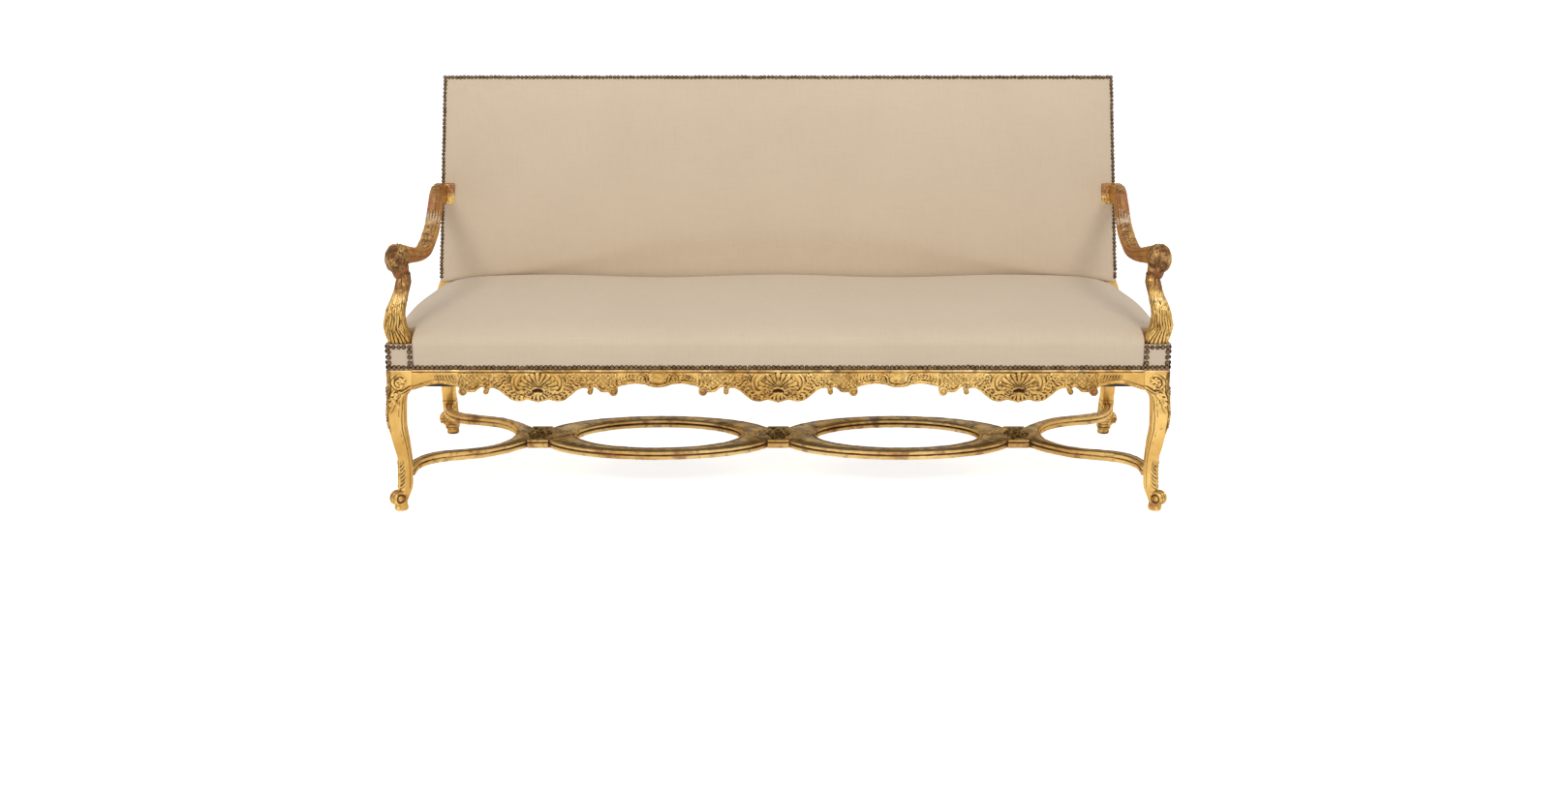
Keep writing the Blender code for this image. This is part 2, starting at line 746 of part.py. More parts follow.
def make_back_frame():
    covered = CLOTH + SEAM
    top = BACK_LENGTH - covered
    depths = (0, BACK_FRAME_DEPTH)

    def inner(up):
        return back_half(max(up, 0)) - covered - POST_WIDTH - SEAM

    back_member(
        "back_top_rail", "beech", lambda up: -inner(up), inner, (top - TOP_RAIL_HEIGHT, top), depths
    )
    below = -BOTTOM_RAIL_DROP
    back_member(
        "back_bottom_rail", "gilt", lambda up: -inner(up), inner, (below, BOTTOM_RAIL_RISE), depths
    )
    ups = (BOTTOM_RAIL_RISE + SEAM, top - TOP_RAIL_HEIGHT - SEAM)
    half = UPRIGHT_WIDTH / 2
    for side_name, side in (("left", -1), ("right", 1)):
        middle = side * UPRIGHT_X
        back_member(
            f"{side_name}_back_upright",
            "beech",
            lambda up: middle - half,
            lambda up: middle + half,
            ups,
            (BACK_FRAME_DEPTH - UPRIGHT_THICKNESS, BACK_FRAME_DEPTH),
        )


def arm_path():
    """Rows of the arm: middle x, y, z, section width, height and corner share."""
    rear_y = back_plane(ARM_REAR_Z) - SEAM
    run = rear_y - ARM_SCROLL_Y
    rows = []
    for forward, drop, outward, width, height, corner in spline(ARM_SHARES, 2):
        rows.append(
            (
                ARM_REAR_X + outward * (ARM_FRONT_X - ARM_REAR_X),
                rear_y - forward * run,
                ARM_REAR_Z - drop * ARM_DIP,
                width * ARM_WIDTH,
                height * ARM_HEIGHT,
                corner,
            )
        )
    return rows


def make_arm(side_name, side):
    rows = arm_path()
    sections = []
    for i, (x, y, z, width, height, corner) in enumerate(rows):
        before = rows[max(i - 1, 0)]
        after = rows[min(i + 1, len(rows) - 1)]
        along = Vector((0, after[1] - before[1], after[2] - before[2])).normalized()
        up = Vector((0, -along.z, along.y)) * -1
        radius = corner * min(width, height)
        loop = []
        for across, rise in rounded_rectangle(-width / 2, width / 2, -height / 2, height / 2, radius):
            point = Vector((side * (x + across), y, z)) + up * rise
            if i == 0:
                point.y = back_plane(point.z) - SEAM
            loop.append(point)
        sections.append(loop)
    arm = add_object(f"{side_name}_arm", *lofted(sections), "gilt")
    scroll = turned(
        f"{side_name}_arm_scroll",
        scroll_profile(ARM_SCROLL_WIDTH, ARM_SCROLL_RADIUS, ARM_SCROLL_EYE),
        (side * ARM_FRONT_X, ARM_SCROLL_Y, ARM_SCROLL_Z),
        (1, 0, 0),
        "gilt",
        20,
        cutter=True,
    )
    fuse(arm, scroll)
    return arm


def make_support(side_name, side):
    low = BLOCK_TOP + SEAM
    high = ARM_SCROLL_Z - ARM_SCROLL_RADIUS / 3
    inner = HALF_WIDTH - CLOTH_STEP - SUPPORT_WIDTH
    sections = []
    for rise, outer_share, inner_share, front_share, back_share in spline(SUPPORT_SHARES, 2):
        x1 = inner + outer_share * SUPPORT_WIDTH
        x0 = inner + inner_share * SUPPORT_WIDTH
        y0 = CLOTH_STEP + front_share * SUPPORT_DEPTH
        y1 = CLOTH_STEP + back_share * SUPPORT_DEPTH
        radius = 0.3 * min(x1 - x0, y1 - y0)
        z = low + rise * (high - low)
        sections.append([(side * x, y, z) for x, y in rounded_rectangle(x0, x1, y0, y1, radius)])
    support = add_object(f"{side_name}_arm_support", *lofted(sections), "gilt")
    radius = ARM_SCROLL_RADIUS + SEAM
    half = ARM_SCROLL_WIDTH
    seat = turned(
        f"{side_name}_support_seat",
        ((-half, radius), (half, radius)),
        (side * ARM_FRONT_X, ARM_SCROLL_Y, ARM_SCROLL_Z),
        (1, 0, 0),
        "gilt",
        40,
        cutter=True,
    )
    cut(support, seat)
    return support


def moulded(outer, inner):
    """Sections of a flat member between two rails, moulded along both sides."""
    base = STRETCHER_TOP - STRETCHER_THICKNESS
    sections = []
    for (ox, oy), (ix, iy) in zip(outer, inner):
        across = Vector((ix - ox, iy - oy))
        across.normalize()
        loop = []
        for inset, rise in MOULDING_SHARES:
            step = across * (inset * MOULDING_DEPTH)
            loop.append((ox + step.x, oy + step.y, base + rise * STRETCHER_THICKNESS))
        for inset, rise in reversed(MOULDING_SHARES):
            step = across * (inset * MOULDING_DEPTH)
            loop.append((ix - step.x, iy - step.y, base + rise * STRETCHER_THICKNESS))
        sections.append(loop)
    return sections


def make_oval_half(name, middle, side_y):
    """Half of one oval, from crossing to crossing, behind or in front of the middle line."""
    steps = 18
    reach = CROSSING_PITCH / 2 - BLOCK_HALF_WIDTH
    long_half = reach / math.sqrt(1 - (BLOCK_HALF_DEPTH / OVAL_HALF_WIDTH) ** 2)
    first = math.acos(reach / long_half)
    outer = []
    inner = []
    for k in range(steps + 1):
        share = k / steps
        angle = first + share * (math.pi - 2 * first)
        off_middle = side_y * OVAL_HALF_WIDTH * math.sin(angle)
        outer.append((middle - long_half * math.cos(angle), STRETCHER_MIDDLE + off_middle))
        angle = share * math.pi
        inner.append(
            (
                middle - HOLE_HALF_LENGTH * math.cos(angle),
                STRETCHER_MIDDLE + side_y * (SEAM / 2 + HOLE_HALF_WIDTH * math.sin(angle)),
            )
        )
    return add_object(name, *lofted(moulded(outer, inner)), "gilt")


def make_fork(name, side, side_y, end_x, leg_face):
    """One arm of a fork, from its crossing to the face of a leg."""
    run_x = end_x - CROSSING_PITCH
    run_y = leg_face(STRETCHER_TOP) - STRETCHER_MIDDLE

    def rail(shares):
        points = [(side * (CROSSING_PITCH + u * run_x), STRETCHER_MIDDLE + v * run_y) for u, v in shares]
        return spline(points, 2)

    outer = rail(FORK_OUTER_SHARES)
    inner = rail(FORK_INNER_SHARES)
    outer[0] = (side * (CROSSING_PITCH + BLOCK_HALF_WIDTH), STRETCHER_MIDDLE + side_y * BLOCK_HALF_DEPTH)
    inner[0] = (side * (CROSSING_PITCH + FORK_TIP), STRETCHER_MIDDLE + side_y * SEAM / 2)
    sections = moulded(outer, inner)
    sections[-1] = [(x, leg_face(z) - side_y * SEAM, z) for x, y, z in sections[-1]]
    return add_object(name, *lofted(sections), "gilt")


def make_crossing(name, middle, left_tip, right_tip):
    """The crossing block: pointed towards the openings, square at front and back, with a turned button."""
    gap = SEAM
    half_w = BLOCK_HALF_WIDTH - gap
    half_d = BLOCK_HALF_DEPTH
    outline = [
        (middle - left_tip + 4 * gap, STRETCHER_MIDDLE),
        (middle - half_w, STRETCHER_MIDDLE - half_d),
        (middle + half_w, STRETCHER_MIDDLE - half_d),
        (middle + right_tip - 4 * gap, STRETCHER_MIDDLE),
        (middle + half_w, STRETCHER_MIDDLE + half_d),
        (middle - half_w, STRETCHER_MIDDLE + half_d),
    ]
    low = STRETCHER_TOP - STRETCHER_THICKNESS
    block = add_object(name, *prism(outline, low, STRETCHER_TOP, upright), "gilt")
    button = turned(
        f"{name}_button",
        (
            (-BUTTON_HEIGHT, BUTTON_RADIUS),
            (BUTTON_HEIGHT * 0.3, BUTTON_RADIUS),
            (BUTTON_HEIGHT * 0.8, BUTTON_RADIUS * 0.8),
            (BUTTON_HEIGHT, BUTTON_RADIUS * 0.4),
        ),
        (middle, STRETCHER_MIDDLE, STRETCHER_TOP),
        (0, 0, 1),
        "gilt",
        12,
        cutter=True,
    )
    fuse(block, button)
    return block


def make_stretcher():
    hole_tip = CROSSING_PITCH / 2 - HOLE_HALF_LENGTH
    make_crossing("centre_crossing", 0, hole_tip, hole_tip)
    make_crossing("left_crossing", -CROSSING_PITCH, FORK_TIP, hole_tip)
    make_crossing("right_crossing", CROSSING_PITCH, hole_tip, FORK_TIP)
    for side_name, side in (("left", -1), ("right", 1)):
        middle = side * CROSSING_PITCH / 2
        make_oval_half(f"{side_name}_oval_front", middle, -1)
        make_oval_half(f"{side_name}_oval_rear", middle, 1)
        make_fork(f"{side_name}_fork_front", side, -1, FRONT_FORK_X, front_leg_back)
        make_fork(f"{side_name}_fork_rear", side, 1, REAR_FORK_X, rear_leg_front)


def seat_height(x, y):
    """Top of the crowned seat at a place in plan."""
    edge_x = max(side_face(y) - CLOTH_STEP / 2 - abs(x), 0)
    edge_y = max(y - CLOTH_STEP / 2, 0)
    rise_x = 1 - math.exp(-edge_x / SIDE_ROLL)
    rise_y = 1 - math.exp(-edge_y / FRONT_ROLL)
    return SEAT_EDGE + (SEAT_CROWN - SEAT_EDGE) * rise_x * rise_y


def seat_skin(inset, drop):
    """Rows of the seat's surface, its crown and then the tuck behind it, with lines at the corner notches."""
    front = CLOTH_STEP / 2 + inset
    notch_y = CORNER + SEAM + inset
    rear = SEAT_REAR - inset
    tail = POST_FRONT + CLOTH_STEP + BACK_RAIL_THICKNESS + CLOTH_STEP / 2 - inset
    notch_x = SEAT_NOTCH - inset
    ys = [front + share * (notch_y - front) for share in SEAT_EDGE_SHARES]
    ys += [notch_y + share * (rear - notch_y) for share in SEAT_Y_SHARES]
    ys += [rear + CLOTH_STEP, tail - SEAM, tail]
    rows = []
    for y in ys:
        edge = side_face(y) - CLOTH_STEP / 2 - inset
        half = [share * notch_x for share in SEAT_X_SHARES]
        half += [edge - share * (edge - notch_x) for share in reversed(SEAT_EDGE_SHARES)]
        row = []
        for x in [-value for value in reversed(half)] + half:
            z = seat_height(abs(x) + inset, y - inset) - drop
            if y > rear:
                z = RAIL_TOP + 2 * CLOTH - drop
            row.append((x, y, z))
        rows.append(row)
    return rows


def seat_kept(i, j):
    """Cells of the seat's grid that aren't in the notches of its four corners."""
    edge = len(SEAT_EDGE_SHARES)
    last = 2 * (len(SEAT_X_SHARES) + edge) - 2
    outside = j < edge or j > last - edge
    return not (outside and (i < edge or i >= edge + len(SEAT_Y_SHARES) - 1))


def skinned(outer, inner, lower, kept=None):
    """A closed body between two grids: lower(point) drops an edge point to the hem.

    With no inner grid, the body is solid down to its hem. kept(i, j) says which cells both grids have:
    where that leaves a notch, a body with two grids ends in a cut edge and not in a hem."""
    verts = []
    faces = []
    places = {}

    def vertex(layer, key, point):
        if (layer, key) not in places:
            places[layer, key] = len(verts)
            verts.append(point)
        return places[layer, key]

    every = [(i, j) for i in range(len(outer) - 1) for j in range(len(outer[0]) - 1)]
    cells = [(i, j) for i, j in every if kept is None or kept(i, j)]
    sides = set()
    for i, j in cells:
        corners = ((i, j), (i, j + 1), (i + 1, j + 1), (i + 1, j))
        sides.update(zip(corners, corners[1:] + corners[:1]))
        for layer, rows in enumerate((outer, inner)):
            if rows is not None:
                faces.append(tuple(vertex(layer, (a, b), rows[a][b]) for a, b in corners))
    follows = {a: b for a, b in sides if (b, a) not in sides}
    rim = [min(follows)]
    while follows[rim[-1]] != rim[0]:
        rim.append(follows[rim[-1]])
    hems = []
    for layer, rows in enumerate((outer, inner)):
        if rows is None:
            continue
        hem = []
        for a, b in rim:
            place = lower(rows[a][b])
            if inner is not None and 0 < a < len(outer) - 1 and 0 < b < len(outer[0]) - 1:
                place = (*rows[a][b][:2], inner[a][b][2])
            hem.append(vertex(layer + 2, (a, b), place))
        faces += around([vertex(layer, (a, b), rows[a][b]) for a, b in rim], hem)
        hems.append(hem)
    if inner is None:
        faces.append(tuple(hems[0]))
    else:
        faces += around(*hems)
    return verts, faces


def around(first, second):
    """Faces of a band between two rings of vertices."""
    count = len(first)
    return [(first[k], first[(k + 1) % count], second[(k + 1) % count], second[k]) for k in range(count)]


def make_seat_upholstery():
    def to_hem(point):
        return (point[0], point[1], COVER_END)

    cover_points = skinned(seat_skin(0, 0), seat_skin(CLOTH, CLOTH), to_hem, seat_kept)
    add_object("seat_cover", *cover_points, "linen")

    hessian_top = RAIL_TOP + SEAM + THIN_CLOTH
    fill = seat_skin(CLOTH + WADDING, CLOTH + WADDING)[:-3]

    def to_hessian(point):
        return (point[0], point[1], hessian_top + SEAM)

    add_object("seat_stuffing", *skinned(fill, None, to_hessian, seat_kept), "hair")

    front = CLOTH_STEP + CLOTH
    rear = POST_FRONT - SEAM
    outline = [
        (HALF_WIDTH - CORNER - CLOTH, front),
        (HALF_WIDTH - CORNER - CLOTH, CORNER + CLOTH),
        (side_face(CORNER) - CLOTH_STEP - CLOTH, CORNER + CLOTH),
        (side_face(rear) - CLOTH_STEP - CLOTH, rear - CLOTH),
    ]
    outline += [(-x, y) for x, y in reversed(outline)]
    add_object("seat_hessian", *prism(outline, RAIL_TOP + SEAM, hessian_top, upright), "jute")


def net(name, xs, ys, filled, place, low, high):
    """A flat web of strips: cells of a grid that filled(i, j) keeps, given a thickness."""
    build = bmesh.new()
    points = {}

    def vertex(i, j, level):
        key = (i, j, level)
        if key not in points:
            points[key] = build.verts.new(place(xs[i], ys[j], (low, high)[level]))
        return points[key]

    columns = len(xs) - 1
    rows = len(ys) - 1
    kept = {(i, j) for i in range(columns) for j in range(rows) if filled(i, j)}
    for i, j in kept:
        corners = ((i, j), (i + 1, j), (i + 1, j + 1), (i, j + 1))
        for level in (0, 1):
            build.faces.new([vertex(a, b, level) for a, b in corners])
        for k, (di, dj) in enumerate(((0, -1), (1, 0), (0, 1), (-1, 0))):
            if (i + di, j + dj) not in kept:
                a, b = corners[k], corners[(k + 1) % 4]
                build.faces.new([vertex(*a, 0), vertex(*b, 0), vertex(*b, 1), vertex(*a, 1)])
    build.verts.index_update()
    verts = [tuple(v.co) for v in build.verts]
    faces = [tuple(v.index for v in face.verts) for face in build.faces]
    build.free()
    return add_object(name, verts, faces, "jute")


def strip_edges(low, high, count, width):
    """Edges of evenly spaced strips between two limits, with an open cell at each end."""
    pitch = (high - low) / count
    edges = [low]
    for k in range(count):
        middle = low + (k + 0.5) * pitch
        edges += [middle - width / 2, middle + width / 2]
    edges.append(high)
    return edges


def web_filled(i, j):
    return i % 2 == 1 or j % 2 == 1


def make_webbing():
    reach = HALF_WIDTH - CORNER - CLOTH
    xs = strip_edges(-reach, reach, SEAT_WEBS, WEB_WIDTH)
    rail_back = POST_FRONT + CLOTH_STEP + BACK_RAIL_THICKNESS
    ys = strip_edges(APRON_THICKNESS + CLOTH, rail_back, SEAT_CROSS_WEBS, WEB_WIDTH)
    top = RAIL_UNDERSIDE - SEAM
    last_x = len(xs) - 2
    last_y = len(ys) - 2

    def seat_filled(i, j):
        if i in (0, last_x):
            return j % 2 == 1
        if j in (0, last_y):
            return i % 2 == 1
        return web_filled(i, j)

    back_edge = POST_FRONT + CLOTH_STEP - SEAM
    ys[-1] = back_edge
    net("seat_webbing", xs, ys, seat_filled, upright, top - WEB_THICKNESS, top)

    half = back_half(BACK_LENGTH) - POST_WIDTH / 2
    top_edge = BACK_LENGTH - TOP_RAIL_HEIGHT / 2
    xs = strip_edges(-half, half, BACK_WEBS, WEB_WIDTH)
    ys = strip_edges(BOTTOM_RAIL_RISE / 2, top_edge, BACK_CROSS_WEBS, WEB_WIDTH)
    last_bx = len(xs) - 2
    last_by = len(ys) - 2

    def back_filled(i, j):
        if i in (0, last_bx):
            return j % 2 == 1
        if j in (0, last_by):
            return i % 2 == 1
        return web_filled(i, j)

    return net("back_webbing", xs, ys, back_filled, on_back, -SEAM - WEB_THICKNESS, -SEAM)


def make_spring(name, x, y, low, high):
    """One hourglass coil spring: a tube on a helix whose radius narrows to a waist."""
    data = bpy.data.curves.new(name, "CURVE")
    data.dimensions = "3D"
    data.bevel_depth = SPRING_WIRE
    data.bevel_resolution = 0
    data.use_fill_caps = True
    count = SPRING_TURNS * SPRING_POINTS
    line = data.splines.new("POLY")
    line.points.add(count)
    base = low + SPRING_WIRE
    rise = high - low - 2 * SPRING_WIRE
    for k in range(count + 1):
        share = k / count
        angle = 2 * math.pi * SPRING_TURNS * share
        narrow = SPRING_WAIST_SHARE + (1 - SPRING_WAIST_SHARE) * abs(2 * share - 1)
        radius = SPRING_RADIUS * narrow
        z = base + rise * (share * share * (3 - 2 * share) * 0.5 + share * 0.5)
        line.points[k].co = (x + radius * math.cos(angle), y - MIDDLE_Y + radius * math.sin(angle), z, 1)
    data.materials.append(new_material(name, "steel"))
    spring = bpy.data.objects.new(name, data)
    bpy.context.collection.objects.link(spring)
    return spring


def make_springs():
    low = RAIL_UNDERSIDE + SEAM
    high = RAIL_TOP
    number = 0
    for column in range(SPRING_COLUMNS):
        x = UPRIGHT_X * (column - (SPRING_COLUMNS - 1) / 2)
        for row_y in (STRETCHER_MIDDLE - SPRING_ROW_OFFSET, STRETCHER_MIDDLE + SPRING_ROW_OFFSET):
            number += 1
            make_spring(f"coil_spring_{number:02d}", x, row_y, low, high)


def make_back_upholstery(webbing):
    def skin(inset, drop):
        rows = []
        for up_share in BACK_UP_SHARES:
            up = inset + up_share * (BACK_LENGTH - 2 * inset)
            row = []
            for share in BACK_X_SHARES:
                x = share * (back_half(up) - inset)
                crown = (1 - abs(share) ** 6) * (1 - abs(2 * up_share - 1) ** 4)
                at_edge = abs(share) == 1 or up_share in (0, 1)
                lift = BACK_EDGE * (BACK_RIM_SHARE if at_edge else 1) + BACK_CROWN * crown
                row.append(on_back(x, up, drop - lift))
            rows.append(row)
        return rows

    slope = Vector(on_back(0, 0, 1)) - Vector(on_back(0, 0, 0))
    origin = Vector(on_back(0, 0, 0))

    def to_depth(depth):
        def lower(point):
            offset = Vector((0, point[1], point[2])) - origin
            now = offset.dot(slope)
            return tuple(Vector(point) + slope * (depth - now))

        return lower

    cover_points = skinned(skin(0, 0), skin(CLOTH, CLOTH), to_depth(BACK_FRAME_DEPTH - CLOTH))
    cover = add_object("back_cover", *cover_points, "linen")
    within = CLOTH + SEAM / 2
    hem = back_member(
        "back_cover_hem",
        "linen",
        lambda up: within - back_half(max(up, 0)),
        lambda up: back_half(max(up, 0)) - within,
        (-CLOTH, 2 * CLOTH),
        (-SEAM, 2 * BACK_FRAME_DEPTH),
        cutter=True,
    )
    cut(cover, hem)
    gap = CLOTH + WADDING
    stuffing_points = skinned(skin(gap, gap), None, to_depth(-WEB_THICKNESS - 2 * SEAM))
    stuffing = add_object("back_stuffing", *stuffing_points, "hair")
    for side_name, side in (("left", -1), ("right", 1)):
        for piece, clearance in ((cover, SEAM), (stuffing, CLOTH), (webbing, CLOTH)):
            x = sorted((side * (ARM_REAR_X - ARM_BLOCK / 2 - clearance), side * (ARM_REAR_X + ARM_BLOCK)))
            z = (ARM_REAR_Z - ARM_BLOCK_HEIGHT / 2 - clearance, ARM_REAR_Z + ARM_BLOCK_HEIGHT / 2 + clearance)
            y = (POST_FRONT - OVERRUN, back_plane(z[1]))
            cut(piece, box(f"{piece.name}_{side_name}_arm_notch", "linen", x, y, z, cutter=True))

    back_member(
        "outside_back_cloth",
        "linen",
        lambda up: -back_half(up),
        back_half,
        (SEAM, BACK_LENGTH),
        (BACK_FRAME_DEPTH + SEAM, BACK_FRAME_DEPTH + SEAM + THIN_CLOTH),
    )


def make_corner_cloths():
    """The upholstered squares on the front and outer faces of the corner blocks."""
    inner = CLOTH_STEP - SEAM
    outer = inner - CLOTH
    for side_name, side in (("left", -1), ("right", 1)):
        outline = [
            (HALF_WIDTH - CORNER + SEAM, outer),
            (HALF_WIDTH - outer, outer),
            (HALF_WIDTH - outer, CORNER - SEAM),
            (HALF_WIDTH - inner, CORNER - SEAM),
            (HALF_WIDTH - inner, inner),
            (HALF_WIDTH - CORNER + SEAM, inner),
        ]
        low = RAIL_LINE + SEAM
        points = prism([(side * x, y) for x, y in outline], low, BLOCK_TOP, upright)
        add_object(f"{side_name}_corner_cloth", *points, "linen")


def make_bottom_cloth():
    top = RAIL_UNDERSIDE - WEB_THICKNESS - 2 * SEAM
    front = APRON_THICKNESS + SEAM
    rear = POST_FRONT - 2 * CLOTH
    side_inset = APRON_THICKNESS + SEAM
    outline = [
        (HALF_WIDTH - CORNER - CLOTH, front),
        (HALF_WIDTH - CORNER - CLOTH, CORNER + CLOTH),
        (side_face(CORNER) - side_inset - SEAM, CORNER + CLOTH),
        (side_face(rear) - side_inset - SEAM, rear),
    ]
    outline += [(-x, y) for x, y in reversed(outline)]
    add_object("bottom_cloth", *prism(outline, top - THIN_CLOTH, top, upright), "black_cloth")


for side_name, side in (("left", -1), ("right", 1)):
    front_leg(side_name, side)
    rear_post(side_name, side)
    make_arm(side_name, side)
    make_support(side_name, side)
make_rails()
make_seat_braces()
make_corner_blocks()
make_back_frame()
make_stretcher()
make_seat_upholstery()
back_webbing = make_webbing()
make_springs()
make_back_upholstery(back_webbing)
make_corner_cloths()
make_bottom_cloth()
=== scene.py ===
import math

import bmesh
import bpy
import numpy as np
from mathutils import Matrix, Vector


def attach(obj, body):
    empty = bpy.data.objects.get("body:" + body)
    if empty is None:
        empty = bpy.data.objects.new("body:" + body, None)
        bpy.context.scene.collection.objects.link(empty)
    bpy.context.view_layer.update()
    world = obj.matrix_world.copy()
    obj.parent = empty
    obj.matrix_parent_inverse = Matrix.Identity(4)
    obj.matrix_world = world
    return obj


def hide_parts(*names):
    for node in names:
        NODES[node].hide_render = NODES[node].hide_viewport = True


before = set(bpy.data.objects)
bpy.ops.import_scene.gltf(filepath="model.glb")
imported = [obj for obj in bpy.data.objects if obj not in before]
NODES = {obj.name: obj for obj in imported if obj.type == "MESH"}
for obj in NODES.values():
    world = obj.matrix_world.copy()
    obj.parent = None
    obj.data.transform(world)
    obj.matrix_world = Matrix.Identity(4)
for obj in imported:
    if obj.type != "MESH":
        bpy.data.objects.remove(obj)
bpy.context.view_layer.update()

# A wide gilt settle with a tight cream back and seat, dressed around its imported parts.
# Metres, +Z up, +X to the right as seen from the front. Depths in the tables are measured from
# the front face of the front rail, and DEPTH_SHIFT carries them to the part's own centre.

SIDES = (("left", -1), ("right", 1))

DEPTH_SHIFT = -0.36598
SEAM = 0.0003
HALF_WIDTH = 1.014
REAR_HALF_WIDTH = 0.988
CORNER = 0.069
POST_FRONT = 0.600
POST_WIDTH = 0.038
RAIL_LINE = 0.384
RAIL_TOP = 0.445
BLOCK_TOP = 0.4535
CLOTH_STEP = 0.0055
APRON_THICKNESS = 0.024
APRON_LAP = 0.0025
RAIL_THICKNESS = 0.034
RAIL_UNDERSIDE = 0.356
# The rail's near-black lip, let down near the legs, stands where there is shade under the apron
RAIL_LIP = 0.335
LIP_START = 0.745
APRON_LINE = 0.349
SHELL_DROP = 0.051
APRON_TOP = 0.3859
SHELL_PITCH = 0.622
BACK_RAKE = math.radians(8.9)
LEAN_START = 0.414
BACK_START = 0.4935
BACK_LENGTH = 0.578
BACK_FRAME_DEPTH = 0.036
BACK_HALF_BOTTOM = 0.9725
BACK_HALF_TOP = 0.954
CLOTH = 0.002
COVER_END = 0.3865
SEAT_EDGE = 0.456
SEAT_CROWN = 0.508
SEAT_REAR = 0.5985
SEAT_NOTCH = 0.9447
SIDE_ROLL = 0.017
SIDE_DOME = 0.075
SIDE_ROLL_SHARE = 0.6
FRONT_ROLL = 0.050
FRONT_ROLL_POWER = 0.78
SHOULDER = 0.022
SHOULDER_DEPTH = 0.30
SHOULDER_RUN = 0.22
SHOULDER_WIDTH = 0.05
SHOULDER_START = 0.010
BACK_EDGE = 0.012
BACK_CROWN = 0.016
BACK_RIM_SHARE = 0.7

NAIL_PITCH = 0.01224
BACK_NAIL_PITCH = 0.01097
NAIL_RADIUS = 0.0064
BACK_NAIL_RADIUS = 0.0054
NAIL_HEIGHT_SHARE = 0.68
NAIL_STAND = 0.0012


def new_object(name, data):
    """An object for a mesh, a lamp or a camera, linked into the scene."""
    made = bpy.data.objects.new(name, data)
    bpy.context.scene.collection.objects.link(made)
    return made


def face_mesh(name, points, faces, smooth=True):
    """A new mesh object from points and faces."""
    mesh = bpy.data.meshes.new(name)
    mesh.from_pydata([tuple(p) for p in points], [], [tuple(f) for f in faces])
    build = bmesh.new()
    build.from_mesh(mesh)
    bmesh.ops.recalc_face_normals(build, faces=build.faces)
    build.to_mesh(mesh)
    build.free()
    mesh.polygons.foreach_set("use_smooth", [smooth] * len(mesh.polygons))
    return new_object(name, mesh)


def joined_mesh(name, parts):
    """One object from several lists of points and faces."""
    points = []
    faces = []
    for part_points, part_faces in parts:
        start = len(points)
        points.extend(part_points)
        faces.extend([tuple(k + start for k in face) for face in part_faces])
    return face_mesh(name, points, faces)


def copy_of(name, node):
    """A new object with a copy of a node's mesh."""
    joined = bmesh.new()
    joined.from_mesh(NODES[node].data)
    bmesh.ops.remove_doubles(joined, verts=joined.verts, dist=1e-6)
    mesh = bpy.data.meshes.new(name)
    joined.to_mesh(mesh)
    joined.free()
    return new_object(name, mesh)


def grid_patch(grid):
    """Points and faces of an open grid of points."""
    rows, columns = len(grid), len(grid[0])
    first = (np.arange(rows - 1)[:, None] * columns + np.arange(columns - 1)[None, :]).ravel()
    faces = np.stack([first, first + 1, first + columns + 1, first + columns], 1)
    return [point for row in grid for point in row], faces


def tube_faces(loops, size, start=0):
    """Quads of a tube of closed loops, each of the same number of points."""
    faces = []
    for first in range(start, start + (loops - 1) * size, size):
        for k in range(size):
            after = first + (k + 1) % size
            faces.append((first + k, after, after + size, first + size + k))
    return faces


def cap_faces(tip, first, size):
    """Triangles from one point to a loop of points."""
    return [(first + k, first + (k + 1) % size, tip) for k in range(size)]


def swept(loops):
    """Points and faces of a skin over loops of equal length, with flat ends."""
    size = len(loops[0])
    points = [point for row in loops for point in row]
    faces = tube_faces(len(loops), size)
    faces.append(tuple(reversed(range(size))))
    faces.append(tuple(range(len(points) - size, len(points))))
    return points, faces


def circle(count):
    """Evenly spaced angles round a full turn."""
    return [2 * math.pi * k / count for k in range(count)]


def read_rows(items, key, width=3, kind=float):
    """One property of all the items of a mesh, as rows of numbers."""
    out = np.zeros(len(items) * width, kind)
    items.foreach_get(key, out)
    return out.reshape(-1, width)


def positions(made):
    """Places of an object's points."""
    return read_rows(made.data.vertices, "co")


def point_normals(made):
    """The ways that an object's points face."""
    return read_rows(made.data.vertex_normals, "vector")


def place_points(made, points):
    """Gives an object's mesh new points."""
    made.data.vertices.foreach_set("co", np.asarray(points, float).ravel())
    made.data.update()


def neighbours(made):
    """Both ends of every edge, and how many edges meet at each point."""
    ends = read_rows(made.data.edges, "vertices", 2, np.int64)
    counts = np.bincount(ends.ravel(), minlength=len(made.data.vertices))
    return ends, np.maximum(counts, 1)


def eased(points, ends, counts, rounds):
    """Points drawn towards the mean of their neighbours, several times."""
    for _ in range(rounds):
        total = np.zeros_like(points)
        for axis in range(3):
            for here, there in ((0, 1), (1, 0)):
                total[:, axis] += np.bincount(ends[:, here], points[ends[:, there], axis], len(points))
        points = (points + total / counts[:, None]) / 2
    return points


def set_share(made, name, values):
    """Stores a number from 0 to 1 at each point, for the materials."""
    layer = made.data.attributes.new(name, "FLOAT", "POINT")
    layer.data.foreach_set("value", np.clip(values, 0, 1).astype(np.float32))


def mark_hollows(made, rounds, depth):
    """Stores how far each point lies in a hollow, and how far it stands on an edge."""
    ends, counts = neighbours(made)
    points = positions(made)
    away = ((eased(points, ends, counts, rounds) - points) * point_normals(made)).sum(1)
    away = eased(np.repeat(away[:, None], 3, 1), ends, counts, 1)[:, 0]
    set_share(made, "hollow", away / depth)
    set_share(made, "ridge", -away / depth)


